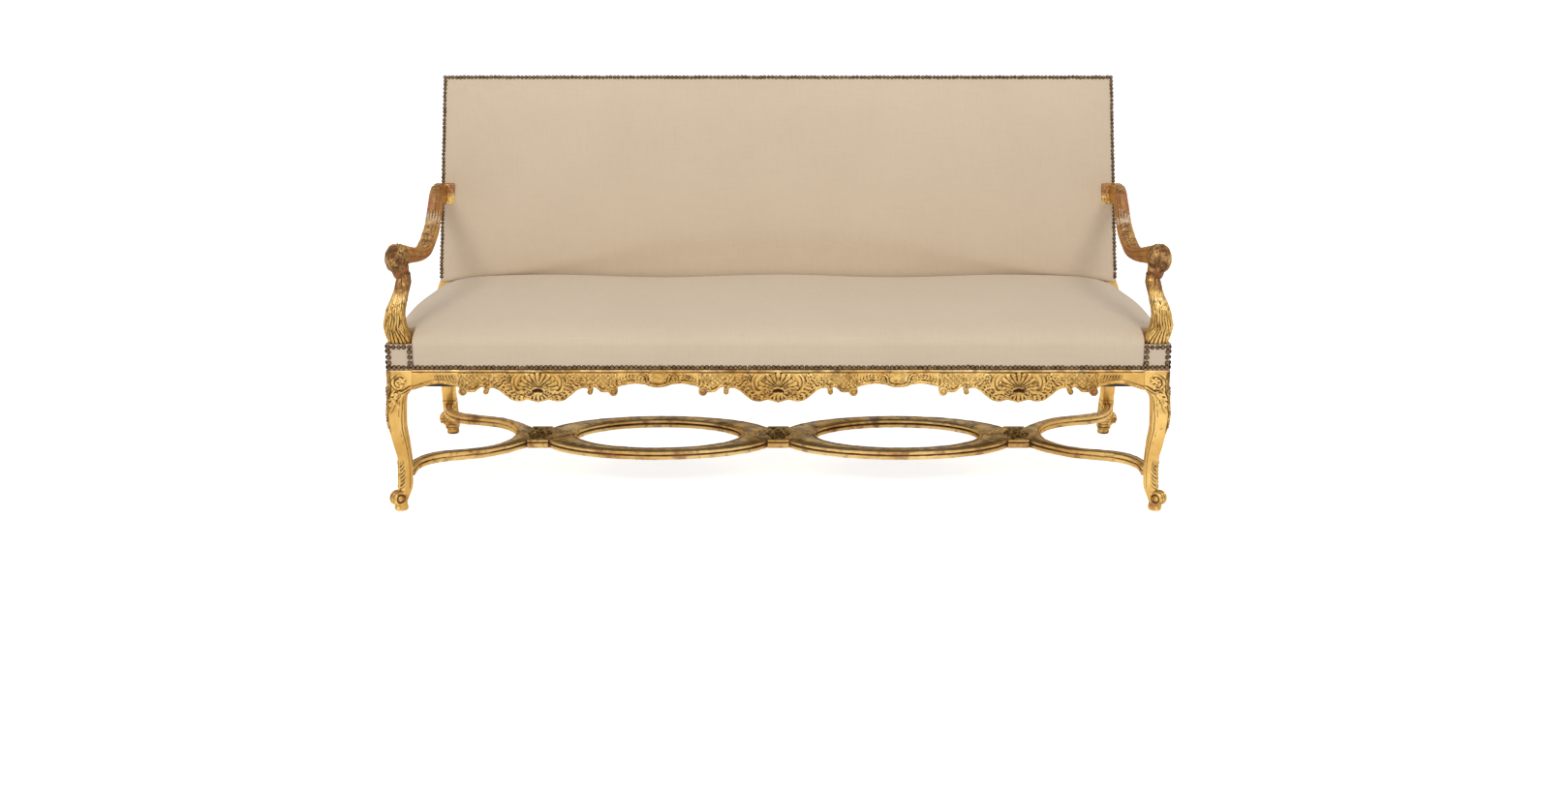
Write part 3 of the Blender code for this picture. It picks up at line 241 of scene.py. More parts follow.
def run_modifier(made, kind, **settings):
    """Adds a modifier and makes its result the object's own mesh."""
    modifier = made.modifiers.new(kind.lower(), kind)
    for key, value in settings.items():
        setattr(modifier, key, value)
    mesh = bpy.data.meshes.new_from_object(made.evaluated_get(bpy.context.evaluated_depsgraph_get()))
    made.modifiers.clear()
    old = made.data
    made.data = mesh
    bpy.data.meshes.remove(old)


def spline(rows, steps):
    """A smooth run through every row of numbers, with steps places for each stretch."""
    rows = np.asarray(rows, float)
    last = len(rows) - 1
    out = []
    for i in range(last):
        a, b, c, d = (rows[min(max(k, 0), last)] for k in range(i - 1, i + 3))
        for s in range(steps):
            t = s / steps
            bend = (a - 2.5 * b + 2 * c - d / 2) * t**2
            turn = (1.5 * (b - c) + (d - a) / 2) * t**3
            out.append(b + (c - a) * t / 2 + bend + turn)
    out.append(rows[-1])
    return np.array(out)


def held(values, top=1.0):
    """Values kept between 0 and a highest one."""
    return np.clip(values, 0, top)


def ramp(values, start, run):
    """From 0 at start to 1 after a run, which is negative where it goes down."""
    return held((values - start) / run)


def bell(values, middle, width, power=2):
    """A hump of 1 at its middle."""
    return np.exp(-(((values - middle) / width) ** power))


def most(*values):
    """The highest of several arrays at each place."""
    return np.maximum.reduce(np.broadcast_arrays(*values))


def side_face(y):
    """Outer face of the side rail at a depth: the seat is a little narrower at the back."""
    run = (y - CORNER) / (POST_FRONT - CORNER)
    return HALF_WIDTH + (REAR_HALF_WIDTH - HALF_WIDTH) * min(max(run, 0), 1)


def back_plane(z):
    """Depth of the front of the raked back frame at a height."""
    return POST_FRONT + max(z - LEAN_START, 0) * math.tan(BACK_RAKE)


def on_back(x, up, behind):
    """A place on the raked back: across, up along it, and behind its front plane."""
    lean = math.sin(BACK_RAKE)
    rise = math.cos(BACK_RAKE)
    y = back_plane(BACK_START) + up * lean + behind * rise + DEPTH_SHIFT
    return (x, y, BACK_START + up * rise - behind * lean)


def back_half(up):
    """Half width of the back at a distance up along it."""
    return BACK_HALF_BOTTOM + (BACK_HALF_TOP - BACK_HALF_BOTTOM) * up / BACK_LENGTH


def seat_height(x, y):
    """Top of the crowned seat at a place in plan."""
    edge_x = max(side_face(y) - CLOTH_STEP / 2 - abs(x), 0)
    edge_y = max(y - CLOTH_STEP / 2, 0)
    roll = 1 - math.exp(-edge_x / SIDE_ROLL)
    crown = 1 - bell(edge_x, 0, SIDE_DOME)
    rise = SIDE_ROLL_SHARE * roll + (1 - SIDE_ROLL_SHARE) * crown
    front_rise = 1 - math.exp(-((edge_y / FRONT_ROLL) ** FRONT_ROLL_POWER))
    shoulder = SHOULDER * bell(y, SHOULDER_DEPTH, SHOULDER_RUN) * math.exp(-edge_x / SHOULDER_WIDTH)
    shoulder *= min(1, edge_x / SHOULDER_START)
    return SEAT_EDGE + (SEAT_CROWN - SEAT_EDGE) * rise * front_rise + shoulder


# Materials

# Bright gold for unworn leaf, also used as a painted highlight
FRESH_LEAF_AND_HIGHLIGHT = (0.86, 0.57, 0.19)
BOLE = ((0.29, 0.090, 0.034), (0.43, 0.175, 0.068))
CHALK = (0.72, 0.60, 0.44)
SPECK = (0.09, 0.045, 0.02)
# Pale colour for ridges: rubbed leaf with a painted highlight
RUBBED_EDGE_AND_HIGHLIGHT = (0.97, 0.80, 0.50)
# Dark brown for the stored grime: real grime, and painted shade in grooves, under parts and beside joins
GRIME_AND_SHADE_TONE = (0.125, 0.062, 0.025)
# Dark glaze for hollows: partly real dirt, partly painted shade
HOLLOW_GLAZE_AND_SHADE = (0.088, 0.041, 0.014)
DUST = (0.280, 0.140, 0.026)
WARM_SHINE = (1.0, 0.78, 0.45)
DARK_RIM_REFLECTION = (0.030, 0.016, 0.009)
WOOD_TONES = ((0.42, 0.25, 0.13), (0.58, 0.38, 0.22), (0.27, 0.145, 0.07))
HAIR_TONES = ((0.045, 0.028, 0.018), (0.16, 0.105, 0.065))


class Nodes:
    """A node tree, wired by name."""

    def __init__(self, tree):
        self.tree = tree

    def add(self, kind, inputs=None, **settings):
        node = self.tree.nodes.new("ShaderNode" + kind)
        for key, value in settings.items():
            setattr(node, key, value)
        for key, value in (inputs or {}).items():
            self.feed(node.inputs[key], value)
        return node

    def feed(self, socket, value):
        if isinstance(value, bpy.types.NodeSocket):
            self.tree.links.new(value, socket)
        elif isinstance(value, tuple) and socket.type == "RGBA":
            socket.default_value = (*value, 1)
        else:
            socket.default_value = value

    def math(self, operation, a, b=0.0):
        return self.add("Math", {0: a, 1: b}, operation=operation).outputs[0]

    def times(self, a, b):
        return self.math("MULTIPLY", a, b)

    def plus(self, first, *others):
        for other in others:
            first = self.math("ADD", first, other)
        return first

    def most(self, first, *others):
        for other in others:
            first = self.math("MAXIMUM", first, other)
        return first

    def seen(self):
        """1 for what the camera, a reflection or glass looks at, and 0 for light on the object."""
        rays = self.add("LightPath").outputs
        return self.most(rays["Is Camera Ray"], rays["Is Glossy Ray"], rays["Is Transmission Ray"])


class Shade(Nodes):
    """A new material's nodes."""

    def __init__(self, name):
        self.material = bpy.data.materials.new(name)
        self.material.use_nodes = True
        super().__init__(self.material.node_tree)
        self.shader = self.tree.nodes["Principled BSDF"]
        self.place = self.add("TexCoord").outputs["Object"]

    def set(self, **inputs):
        for key, value in inputs.items():
            self.feed(self.shader.inputs[key.replace("_", " ")], value)

    def noise(self, scale, detail=3, roughness=0.5, place=None):
        inputs = {"Vector": place or self.place, "Scale": scale, "Detail": detail, "Roughness": roughness}
        return self.add("TexNoise", inputs).outputs["Fac"]

    def streaks(self, x, y, z, detail=3, roughness=0.6):
        """Noise with a scale of its own along each axis."""
        place = self.add("Mapping", {"Vector": self.place, "Scale": (x, y, z)}).outputs["Vector"]
        return self.noise(1, detail, roughness, place)

    def span(self, value, low, high, out_low=0.0, out_high=1.0):
        """A value carried from one range to another, and held within it."""
        names = ("Value", "From Min", "From Max", "To Min", "To Max")
        return self.add("MapRange", dict(zip(names, (value, low, high, out_low, out_high)))).outputs["Result"]

    def mix(self, share, a, b):
        return self.add("Mix", {0: share, 6: a, 7: b}, data_type="RGBA").outputs[2]

    def stored(self, name):
        return self.add("Attribute", attribute_name=name).outputs["Fac"]

    def bump(self, height, strength, distance, under=None):
        inputs = {"Height": height, "Strength": strength, "Distance": distance}
        if under is not None:
            inputs["Normal"] = under
        return self.add("Bump", inputs).outputs["Normal"]


def gilding(name, light, deep, bole=0.15, dust=0.0, dark=1.0):
    """Burnished leaf over red bole: a dark glaze with painted shade in its hollows, worn and with a painted
    highlight on its edges, darkened with grime and painted shade where stored, and dusty on top.
    """
    shade = Shade(name)
    ridge = shade.stored("ridge")
    cloud = shade.noise(7, 4, 0.6)
    worn = shade.noise(34, 6, 0.68)
    colour = shade.mix(shade.span(cloud, 0.36, 0.62), deep, light)
    colour = shade.mix(shade.span(shade.streaks(160, 160, 38, 4), 0.52, 0.78, 0, 0.45), colour, deep)
    # Lighter where fresh is stored: unworn leaf, and painted highlights
    colour = shade.mix(shade.stored("fresh"), colour, FRESH_LEAF_AND_HIGHLIGHT)

    level = 0.68 - bole * 0.35
    wear = shade.plus(worn, shade.times(ridge, 0.06), shade.times(shade.stored("bole"), 0.26))
    bare = shade.span(wear, level, level + 0.09)
    red = shade.mix(shade.span(worn, 0.35, 0.65), *BOLE)
    colour = shade.mix(shade.times(bare, min(1, 0.6 + bole)), colour, red)

    chalk = shade.times(shade.stored("gesso"), shade.span(worn, 0.36, 0.5))
    colour = shade.mix(chalk, colour, CHALK)
    speck = shade.span(shade.streaks(420, 420, 210, 5, 0.7), 0.62, 0.72)
    colour = shade.mix(shade.times(speck, 0.75), colour, SPECK)
    # Ridges lightened: rubbed leaf with a painted highlight
    edge = shade.times(shade.span(ridge, 0.35, 0.9), shade.span(cloud, 0.4, 0.6))
    colour = shade.mix(shade.times(edge, 0.45), colour, RUBBED_EDGE_AND_HIGHLIGHT)

    # Darkened where grime is stored: grime, and painted shade in grooves, under parts and beside joins
    grime_and_shade_share = shade.times(shade.stored("grime"), shade.span(worn, 0.38, 0.56, 0.35, 1))
    colour = shade.mix(grime_and_shade_share, colour, GRIME_AND_SHADE_TONE)
    # Hollows darkened with a dark glaze that is partly painted shade
    glaze_and_shade = shade.times(shade.span(shade.stored("hollow"), 0.03, 0.5), dark)
    colour = shade.mix(glaze_and_shade, colour, HOLLOW_GLAZE_AND_SHADE)
    darkened = shade.most(glaze_and_shade, grime_and_shade_share)
    rough = shade.most(shade.span(worn, 0.3, 0.7, 0.27, 0.44), shade.times(darkened, 0.6))
    metal = shade.math("SUBTRACT", 0.82, shade.times(shade.most(darkened, bare, chalk), 0.6))
    if dust:
        facing = shade.add("SeparateXYZ", {"Vector": shade.add("NewGeometry").outputs["Normal"]}).outputs["Z"]
        film = shade.times(shade.span(facing, 0.55, 0.97), shade.span(worn, 0.34, 0.6, 0.45, 1))
        film = shade.times(film, dust)
        colour = shade.mix(film, colour, DUST)
        rough = shade.most(rough, shade.times(film, 0.85))
        metal = shade.math("SUBTRACT", metal, shade.times(film, 0.38))
    lumps = shade.bump(shade.noise(90), 0.25, 0.0012)
    grain = shade.bump(shade.noise(900), 0.3, 0.0002, lumps)
    shade.set(Base_Color=colour, Roughness=rough, Metallic=metal, Normal=grain, Specular_IOR_Level=0.12)
    shade.set(Specular_Tint=WARM_SHINE)
    return shade.material


def woven(name, colour, shadow, pitch, depth, roughness=0.85, sheen=0.25, open_weave=0.0):
    """Plain-woven cloth: threads along each axis, slubs, and a slight cloudiness."""
    shade = Shade(name)
    along = shade.add("SeparateXYZ", {"Vector": shade.place}).outputs
    slub = shade.streaks(18, 320, 320)
    cross_slub = shade.streaks(320, 24, 24)
    waves = (shade.math("SINE", shade.times(along[axis], 2 * math.pi / pitch)) for axis in "XYZ")
    threads = shade.plus(*(shade.math("ABSOLUTE", wave) for wave in waves))
    tone = shade.plus(
        shade.span(shade.noise(5), 0.3, 0.7, 0.0, 0.14),
        shade.span(slub, 0.45, 0.75, 0.0, 0.16),
        shade.span(cross_slub, 0.45, 0.75, 0.0, 0.16),
        shade.span(threads, 0.5, 1.3, 0.30 + open_weave, 0.0),
    )
    height = shade.plus(threads, shade.plus(slub, cross_slub))
    slack = shade.bump(shade.noise(11, 2), 0.2, 0.004)
    shade.set(Base_Color=shade.mix(tone, colour, shadow), Roughness=roughness)
    shade.set(Sheen_Weight=sheen, Sheen_Roughness=0.5, Normal=shade.bump(height, 0.45, depth, slack))
    return shade.material


def timber(name, tone=1.0):
    """Beech: fine grain along x, flecks, and slightly uneven planing."""
    shade = Shade(name)
    ring = shade.streaks(2.5, 55, 55, 4)
    fleck = shade.streaks(120, 900, 900)
    dark, light, speck = (tuple(part * tone for part in colour) for colour in WOOD_TONES)
    colour = shade.mix(shade.span(ring, 0.35, 0.65), dark, light)
    colour = shade.mix(shade.span(fleck, 0.6, 0.75, 0, 0.6), colour, speck)
    shade.set(Base_Color=colour, Roughness=shade.span(ring, 0.3, 0.7, 0.5, 0.68))
    shade.set(Normal=shade.bump(shade.plus(ring, fleck), 0.4, 0.0006))
    return shade.material


def metal(name, bright, dull, roughness, wear_scale):
    """Plain metal with a patchy tarnish, and a painted dark reflection where its stored rim is."""
    shade = Shade(name)
    fine = shade.noise(wear_scale * 9)
    colour = shade.mix(shade.span(shade.noise(wear_scale, 4, 0.6), 0.35, 0.65), bright, dull)
    colour = shade.mix(shade.stored("rim"), colour, DARK_RIM_REFLECTION)
    rough = shade.span(fine, 0.3, 0.7, roughness * 0.8, roughness * 1.3)
    shade.set(Base_Color=colour, Roughness=rough, Metallic=0.9, Normal=shade.bump(fine, 0.2, 0.0003))
    return shade.material


def hair(name):
    """Curled horsehair, matted into a pad."""
    shade = Shade(name)
    strand = shade.noise(420, 6, 0.8)
    colour = shade.mix(shade.span(strand, 0.4, 0.6), *HAIR_TONES)
    shade.set(Base_Color=colour, Roughness=shade.span(strand, 0.3, 0.7, 0.6, 0.9))
    shade.set(Normal=shade.bump(strand, 0.9, 0.002))
    return shade.material


GILT = gilding("gilt", (0.82, 0.52, 0.155), (0.60, 0.33, 0.082))
GILT_CARVED = gilding("gilt_carved", (0.75, 0.485, 0.160), (0.54, 0.305, 0.080), 0.10, dark=1.12)
GILT_ARM = gilding("gilt_arm", (0.70, 0.42, 0.155), (0.42, 0.21, 0.08), 0.36)
GILT_STRETCHER = gilding("gilt_stretcher", (0.74, 0.48, 0.165), (0.50, 0.28, 0.085), 0.13, 0.47)
LINEN = woven("linen", (0.70, 0.57, 0.415), (0.56, 0.435, 0.30), 0.0011, 0.0002)
BLACK = woven("black_cloth", (0.022, 0.020, 0.019), (0.008, 0.008, 0.008), 0.0012, 0.0002)
JUTE = woven("jute", (0.40, 0.27, 0.15), (0.20, 0.12, 0.06), 0.0028, 0.0006, 0.92, 0.1, 0.2)
BEECH = timber("beech")
# Near-black beech: painted shade for the rail's core and lip
BEECH_DARKENED_AS_SHADE = timber("beech_darkened_as_shade", 0.035)
BRASS = metal("nail_brass", (0.24, 0.135, 0.065), (0.095, 0.050, 0.023), 0.28, 60)
STEEL = metal("spring_steel", (0.36, 0.33, 0.30), (0.15, 0.125, 0.11), 0.42, 45)
HORSEHAIR = hair("horsehair")


def finish_piece(made, material, slot=None, nodes=()):
    """Gives a piece its material and a parent under the root, and hides the nodes that it stands for."""
    made.data.materials.clear()
    made.data.materials.append(material)
    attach(made, "root")
    if nodes:
        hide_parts(*nodes)
    return made


# Upholstery

SWELL_FRAMES = 20
CLOTH_MASS = 0.3
SEAT_PRESSURE = 3.0
SEAT_SWELL = 0.010
SEAT_DIP = 0.35
FRONT_DIP = 0.005
REAR_DIP = 0.006
BACK_PRESSURE = 2.0
BACK_SWELL = 0.008
NAILED_MARGIN = 2.3
EDGE_COLUMNS = 8
SEAT_COLUMNS = 200
EDGE_ROWS = 9
SEAT_ROWS = 60
HEM_RINGS = 7
TAIL = 0.019
SEAT_UNDERSIDE = 0.4468
HEM_BULGE = 0.0022
BACK_COLUMNS = 190
BACK_LINES = 66
BACK_HEM_RINGS = 4
BACK_UNDERSIDE = 0.0032
BACK_TUCK = 0.011


def swell(made, fixed, pressure, cap):
    """Blows a cover up from within, with some points held, and lets no point move far."""
    scene = bpy.context.scene
    start = positions(made)
    group = made.vertex_groups.new(name="held")
    group.add([int(k) for k in fixed], 1, "REPLACE")
    cloth = made.modifiers.new("cloth", "CLOTH")
    cloth.settings.quality = 4
    cloth.settings.mass = CLOTH_MASS
    cloth.settings.use_pressure = True
    cloth.settings.uniform_pressure_force = pressure
    cloth.settings.effector_weights.gravity = 0
    cloth.settings.vertex_group_mass = "held"
    cloth.collision_settings.use_collision = False
    cloth.point_cache.frame_start = 1
    cloth.point_cache.frame_end = SWELL_FRAMES
    for number in range(1, SWELL_FRAMES + 1):
        scene.frame_set(number)
    blown = made.evaluated_get(bpy.context.evaluated_depsgraph_get()).to_mesh()
    step = read_rows(blown.vertices, "co") - start
    made.modifiers.clear()
    made.vertex_groups.clear()
    length = np.linalg.norm(step, axis=1)
    kept = cap * np.tanh(length / cap) / np.maximum(length, 1e-9)
    place_points(made, start + step * kept[:, None])
    scene.frame_set(1)


def padded_cover(name, outer, inner, hem_outer, hem_inner, rings, kept=None):
    """A closed pad: an outer and an inner grid joined round their rim through a folded hem.

    hem_outer(point, share) and hem_inner(point, share) carry a rim point down its hem, and kept(i, j) says
    which cells both grids have. Gives the object and the points of its hem's last ring."""
    corners = [
        ((i, j), (i, j + 1), (i + 1, j + 1), (i + 1, j))
        for i in range(len(outer) - 1)
        for j in range(len(outer[0]) - 1)
        if kept is None or kept(i, j)
    ]
    sides = {side for loop in corners for side in zip(loop, loop[1:] + loop[:1])}
    follows = {a: b for a, b in sides if (b, a) not in sides}
    rim = [min(follows)]
    while follows[rim[-1]] != rim[0]:
        rim.append(follows[rim[-1]])
    points = []
    places = {}

    def vertex(layer, key, point):
        if (layer, key) not in places:
            places[layer, key] = len(points)
            points.append(tuple(point))
        return places[layer, key]

    def on_grid(layer, grid, keys):
        return [vertex(layer, key, grid[key[0]][key[1]]) for key in keys]

    faces = []
    for loop in corners:
        faces += [on_grid("outer", outer, loop), on_grid("inner", inner, loop[::-1])]
    loops = [on_grid("outer", outer, rim)]
    for ring in range(1, rings + 1):
        loops.append([vertex(ring, key, hem_outer(key, ring / rings)) for key in rim])
    for ring in range(rings, 0, -1):
        loops.append([vertex(-ring, key, hem_inner(key, ring / rings)) for key in rim])
    loops.append(on_grid("inner", inner, rim))
    for upper, lower in zip(loops, loops[1:]):
        for k in range(len(rim)):
            after = (k + 1) % len(rim)
            faces.append((upper[after], upper[k], lower[k], lower[after]))
    fixed = {k for loop in loops[rings:] for k in loop}
    fixed |= {place for (layer, key), place in places.items() if layer == "inner"}
    return face_mesh(name, points, faces), sorted(fixed)


def between(low, high, count):
    """Evenly spaced numbers from low up to but not including high."""
    return [low + (high - low) * k / count for k in range(count)]


def seat_lines(inset):
    """Depths of the seat's rows, and the half-width lines at a depth."""
    notch = CORNER + SEAM + inset
    rear = SEAT_REAR - inset
    ys = between(CLOTH_STEP / 2 + inset, notch, EDGE_ROWS) + between(notch, rear, SEAT_ROWS)
    ys += [rear, rear + CLOTH_STEP, rear + TAIL]

    def xs(y):
        notch_x = SEAT_NOTCH - inset
        edge = side_face(y) - CLOTH_STEP / 2 - inset
        half = between(0, notch_x, SEAT_COLUMNS // 2) + between(notch_x, edge, EDGE_COLUMNS) + [edge]
        return [-x for x in half[:0:-1]] + half

    return ys, xs


def seat_pad():
    """The tight seat: one crowned cover that folds down over the rails at the front and sides."""
    rows = []
    ys, xs = seat_lines(0)
    for y in ys:
        row = []
        for x in xs(y):
            dip = SEAT_DIP - SEAT_DIP * math.cos(2 * math.pi * x / SHELL_PITCH / 1.06)
            dip *= FRONT_DIP * min(1, y / 0.1) + REAR_DIP * (y / SEAT_REAR) ** 2
            z = seat_height(x, y) - dip
            row.append((x, y + DEPTH_SHIFT, RAIL_TOP + 3 * CLOTH if y > SEAT_REAR else z))
        rows.append(row)
    ys, xs = seat_lines(CLOTH)
    lower = [[(x, y + DEPTH_SHIFT, SEAT_UNDERSIDE) for x in xs(y)] for y in ys]
    last_row = len(rows) - 1
    last_column = len(rows[0]) - 1

    def kept(i, j):
        outside = j < EDGE_COLUMNS or j >= last_column - EDGE_COLUMNS
        return not (outside and (i < EDGE_ROWS or i >= EDGE_ROWS + SEAT_ROWS))

    def hem_end(i, j):
        if i == 0 and EDGE_COLUMNS <= j <= last_column - EDGE_COLUMNS:
            return COVER_END
        if j in (0, last_column) and EDGE_ROWS <= i <= EDGE_ROWS + SEAT_ROWS:
            return COVER_END
        return SEAT_UNDERSIDE if i == last_row else BLOCK_TOP - SEAM * 4

    def hem_outer(key, share):
        i, j = key
        x, y, z = rows[i][j]
        bulge = HEM_BULGE * 0.4 * math.sin(math.pi * share) if hem_end(i, j) == COVER_END else 0
        out_x = math.copysign(bulge, x) if j in (0, last_column) else 0
        return (x + out_x, y - (bulge if i == 0 else 0), z + (hem_end(i, j) - z) * share)

    def hem_inner(key, share):
        x, y, z = lower[key[0]][key[1]]
        return (x, y, z + (min(hem_end(*key), z) - z) * share)

    made, fixed = padded_cover("seat_pad", rows, lower, hem_outer, hem_inner, HEM_RINGS, kept)
    swell(made, fixed, SEAT_PRESSURE, SEAT_SWELL)
    run_modifier(made, "SUBSURF", levels=1, render_levels=1)
    finish_piece(made, LINEN, "linen_cover", ("seat_cover", "seat_stuffing"))


def back_share(up):
    """Share of the cover's height at a distance up along the back."""
    return (up + BACK_TUCK) / (BACK_LENGTH + BACK_TUCK)


def back_lift(s, u):
    """How far the back's cover stands in front of its frame, at shares of its width and height."""
    crown = (1 - abs(2 * s - 1) ** 6) * (1 - abs(2 * u - 1) ** 4)
    fall = math.exp(-min(s, 1 - s) * 60) + math.exp(-min(u, 1 - u) * 25)
    return BACK_EDGE * (1 - (1 - BACK_RIM_SHARE) * fall) + BACK_CROWN * crown


def back_pad():
    """The tight back: a cover crowned over its whole face and turned round the frame's edges."""

    def shares(count):
        near = [0, 0.003, 0.008, 0.016]
        middle = [near[-1] + (1 - 2 * near[-1]) * k / count for k in range(1, count)]
        return near + middle + [1 - s for s in reversed(near)]

    front = []
    back = []
    for u in shares(BACK_LINES):
        up = u * (BACK_LENGTH + BACK_TUCK) - BACK_TUCK
        half = back_half(up)
        inner_up = CLOTH - BACK_TUCK + u * (BACK_LENGTH + BACK_TUCK - 2 * CLOTH)
        columns = [2 * s - 1 for s in shares(BACK_COLUMNS)]
        front.append([on_back(x * half, up, -back_lift((x + 1) / 2, u)) for x in columns])
        back.append([on_back(x * (half - CLOTH), inner_up, -BACK_UNDERSIDE) for x in columns])

    def wrap(rows):
        def fold(key, share):
            x, y, z = rows[key[0]][key[1]]
            edge = key[0] == len(rows) - 1 or key[1] in (0, len(rows[0]) - 1)
            reach = (BACK_FRAME_DEPTH if edge else BACK_FRAME_DEPTH * 0.6) * share
            return (x, y + reach * math.cos(BACK_RAKE), z - reach * math.sin(BACK_RAKE))

        return fold

    made, fixed = padded_cover("back_pad", front, back, wrap(front), wrap(back), BACK_HEM_RINGS)
    points = positions(made)
    origin = np.array(on_back(0, 0, 0))
    up = (points - origin) @ (np.array(on_back(0, 1, 0)) - origin)
    margin = NAILED_MARGIN * BACK_NAIL_RADIUS
    nailed = (np.abs(points[:, 0]) > back_half(up) - margin) | (up > BACK_LENGTH - margin)
    swell(made, sorted(set(fixed) | set(np.nonzero(nailed)[0])), BACK_PRESSURE, BACK_SWELL)
    run_modifier(made, "SUBSURF", levels=1, render_levels=1)
    finish_piece(made, LINEN, "linen_cover", ("back_cover", "back_stuffing"))


# Flat cloths and webs

WEB_WIDTH = 0.050
WEB_THICKNESS = 0.0011
WEB_LIFT = 0.0007
WEB_EASE = 0.034
WEB_COLUMNS = 5
SEAT_WEB_Z = 0.35445
SEAT_WEB_REAR = 0.6395
SEAT_WEB_END = 0.6052
BACK_WEB_DEPTH = 0.00155
BACK_WEBS = (0.020, 0.553)
BOTTOM_CLOTH = (0.0243, 0.045, 0.596)
BOTTOM_CLOTH_Z = 0.3519
BOTTOM_CLOTH_INSET = 0.0246
HESSIAN = (0.0075, 0.04, 0.5977)
HESSIAN_HALVES = (1.0065, 0.9805)
HESSIAN_Z = 0.4459
NOTCH_GAP = 1e-4
BOTTOM_SAG = 0.004
RIPPLE = 0.0004
HESSIAN_RIPPLE = 0.0002
BACK_WEB_INSET = 0.019
CLOTH_THICKNESS = 0.0012


def thin_cloth(name, rows, thickness, material, slot, node):
    """A close grid of cloth given its thickness on both sides of its middle."""
    made = face_mesh(name, *grid_patch(rows))
    run_modifier(made, "SOLIDIFY", thickness=thickness, offset=0)
    return finish_piece(made, material, slot, (node,))


def strap(place, start, end, middle, across_x, crossings, first_over):
    """One web from start to end that passes over and under the webs it meets."""
    rows = []
    for a in np.linspace(start, end, 6 * len(crossings) + 13):
        lift = 0.0
        for number, crossing in enumerate(crossings):
            sign = 1 if (number + first_over) % 2 else -1
            lift += sign * WEB_LIFT * bell(a, crossing, WEB_EASE, 4)
        across = np.linspace(-WEB_WIDTH / 2, WEB_WIDTH / 2, WEB_COLUMNS)
        rows.append([place(a, middle + b, lift) if across_x else place(middle + b, a, lift) for b in across])
    return rows


def webbing(name, node, half, low, high, count, cross_count, place, end=None):
    """Interlaced webs, tacked to the rails at both ends."""
    end = high if end is None else end
    xs = [-half + (k + 0.5) * 2 * half / count for k in range(count)]
    ys = [low + (k + 0.5) * (high - low) / cross_count for k in range(cross_count)]
    straps = [strap(place, low, end, x, False, ys, number) for number, x in enumerate(xs)]
    straps += [strap(place, -half, half, y, True, xs, number + 1) for number, y in enumerate(ys)]
    made = joined_mesh(name, [grid_patch(rows) for rows in straps])
    run_modifier(made, "SOLIDIFY", thickness=WEB_THICKNESS, offset=0)
    finish_piece(made, JUTE, "jute", (node,))


def frame_cloth(name, ys, half_at, z_at, columns, look):
    """A cloth stretched under or over the seat frame, of a half width and a height at each depth.

    Gives the object and its flat area."""
    rows = []
    for y in ys:
        row = [(x, y + DEPTH_SHIFT, z_at(x, y)) for x in np.linspace(-half_at(y), half_at(y), columns)]
        rows.append(row)
    area = 2 * sum((half_at(a) + half_at(b)) / 2 * (b - a) for a, b in zip(ys, ys[1:]))
    return thin_cloth(name, rows, *look), area


def seat_cloths():
    """The dust cloth under the seat frame, and the hessian over it."""
    inner = HALF_WIDTH - CORNER - CLOTH
    notch = CORNER + CLOTH

    def depths(front, second, rear, count):
        """Depths of a cloth's rows: it widens at once behind the legs' blocks."""
        return [front, second, notch - NOTCH_GAP, *np.linspace(notch + NOTCH_GAP, rear, count)]

    def bottom_half(y):
        return inner if y < notch else side_face(y) - BOTTOM_CLOTH_INSET

    def sag(x, y):
        share = (y - BOTTOM_CLOTH[0]) / (BOTTOM_CLOTH[2] - BOTTOM_CLOTH[0])
        waves = math.sin(x * 31) * math.sin(y * 23) * RIPPLE
        return BOTTOM_CLOTH_Z - BOTTOM_SAG * math.sin(math.pi * share) * (1 - (x / 0.99) ** 6) + waves

    def hessian_half(y):
        front, rear = HESSIAN_HALVES
        return inner if y < notch else front + (rear - front) * (y - notch) / (HESSIAN[2] - notch)

    def level(x, y):
        return HESSIAN_Z + HESSIAN_RIPPLE * math.sin(x * 40) * math.sin(y * 40)

    look = (CLOTH_THICKNESS, BLACK, "black_cloth", "bottom_cloth")
    ys = depths(*BOTTOM_CLOTH, 34)
    bottom, area = frame_cloth("bottom_dust_cloth", ys, bottom_half, sag, 120, look)
    look = (WEB_THICKNESS, JUTE, "jute", "seat_hessian")
    ys = depths(*HESSIAN, 30)
    hessian, area = frame_cloth("seat_hessian_cloth", ys, hessian_half, level, 110, look)


def outside_back():
    """The cloth behind the back."""
    rows = []
    for up in np.linspace(SEAM, BACK_LENGTH, 40):
        row = []
        for share in np.linspace(-1, 1, 130):
            slack = RIPPLE * math.sin(share * 17 + up * 9) * math.sin(up * 14)
            depth = BACK_FRAME_DEPTH + SEAM + CLOTH_THICKNESS / 2 + slack
            row.append(on_back(share * back_half(up), up, depth))
        rows.append(row)
    look = (CLOTH_THICKNESS, LINEN, "linen_cover", "outside_back_cloth")
    behind = thin_cloth("outside_back", rows, *look)


def make_webs():
    """The webs under the springs, and those of the back."""

    def under_seat(x, y, lift):
        return (x, y + DEPTH_SHIFT, SEAT_WEB_Z + lift)

    def in_back(x, up, lift):
        return on_back(x, up, lift - BACK_WEB_DEPTH)

    inner = HALF_WIDTH - CORNER - CLOTH
    reach = (APRON_THICKNESS + CLOTH, SEAT_WEB_REAR)
    webbing("seat_webs", "seat_webbing", inner, *reach, 11, 3, under_seat, SEAT_WEB_END)
    webbing("back_webs", "back_webbing", back_half(BACK_LENGTH) - BACK_WEB_INSET, *BACK_WEBS, 7, 3, in_back)


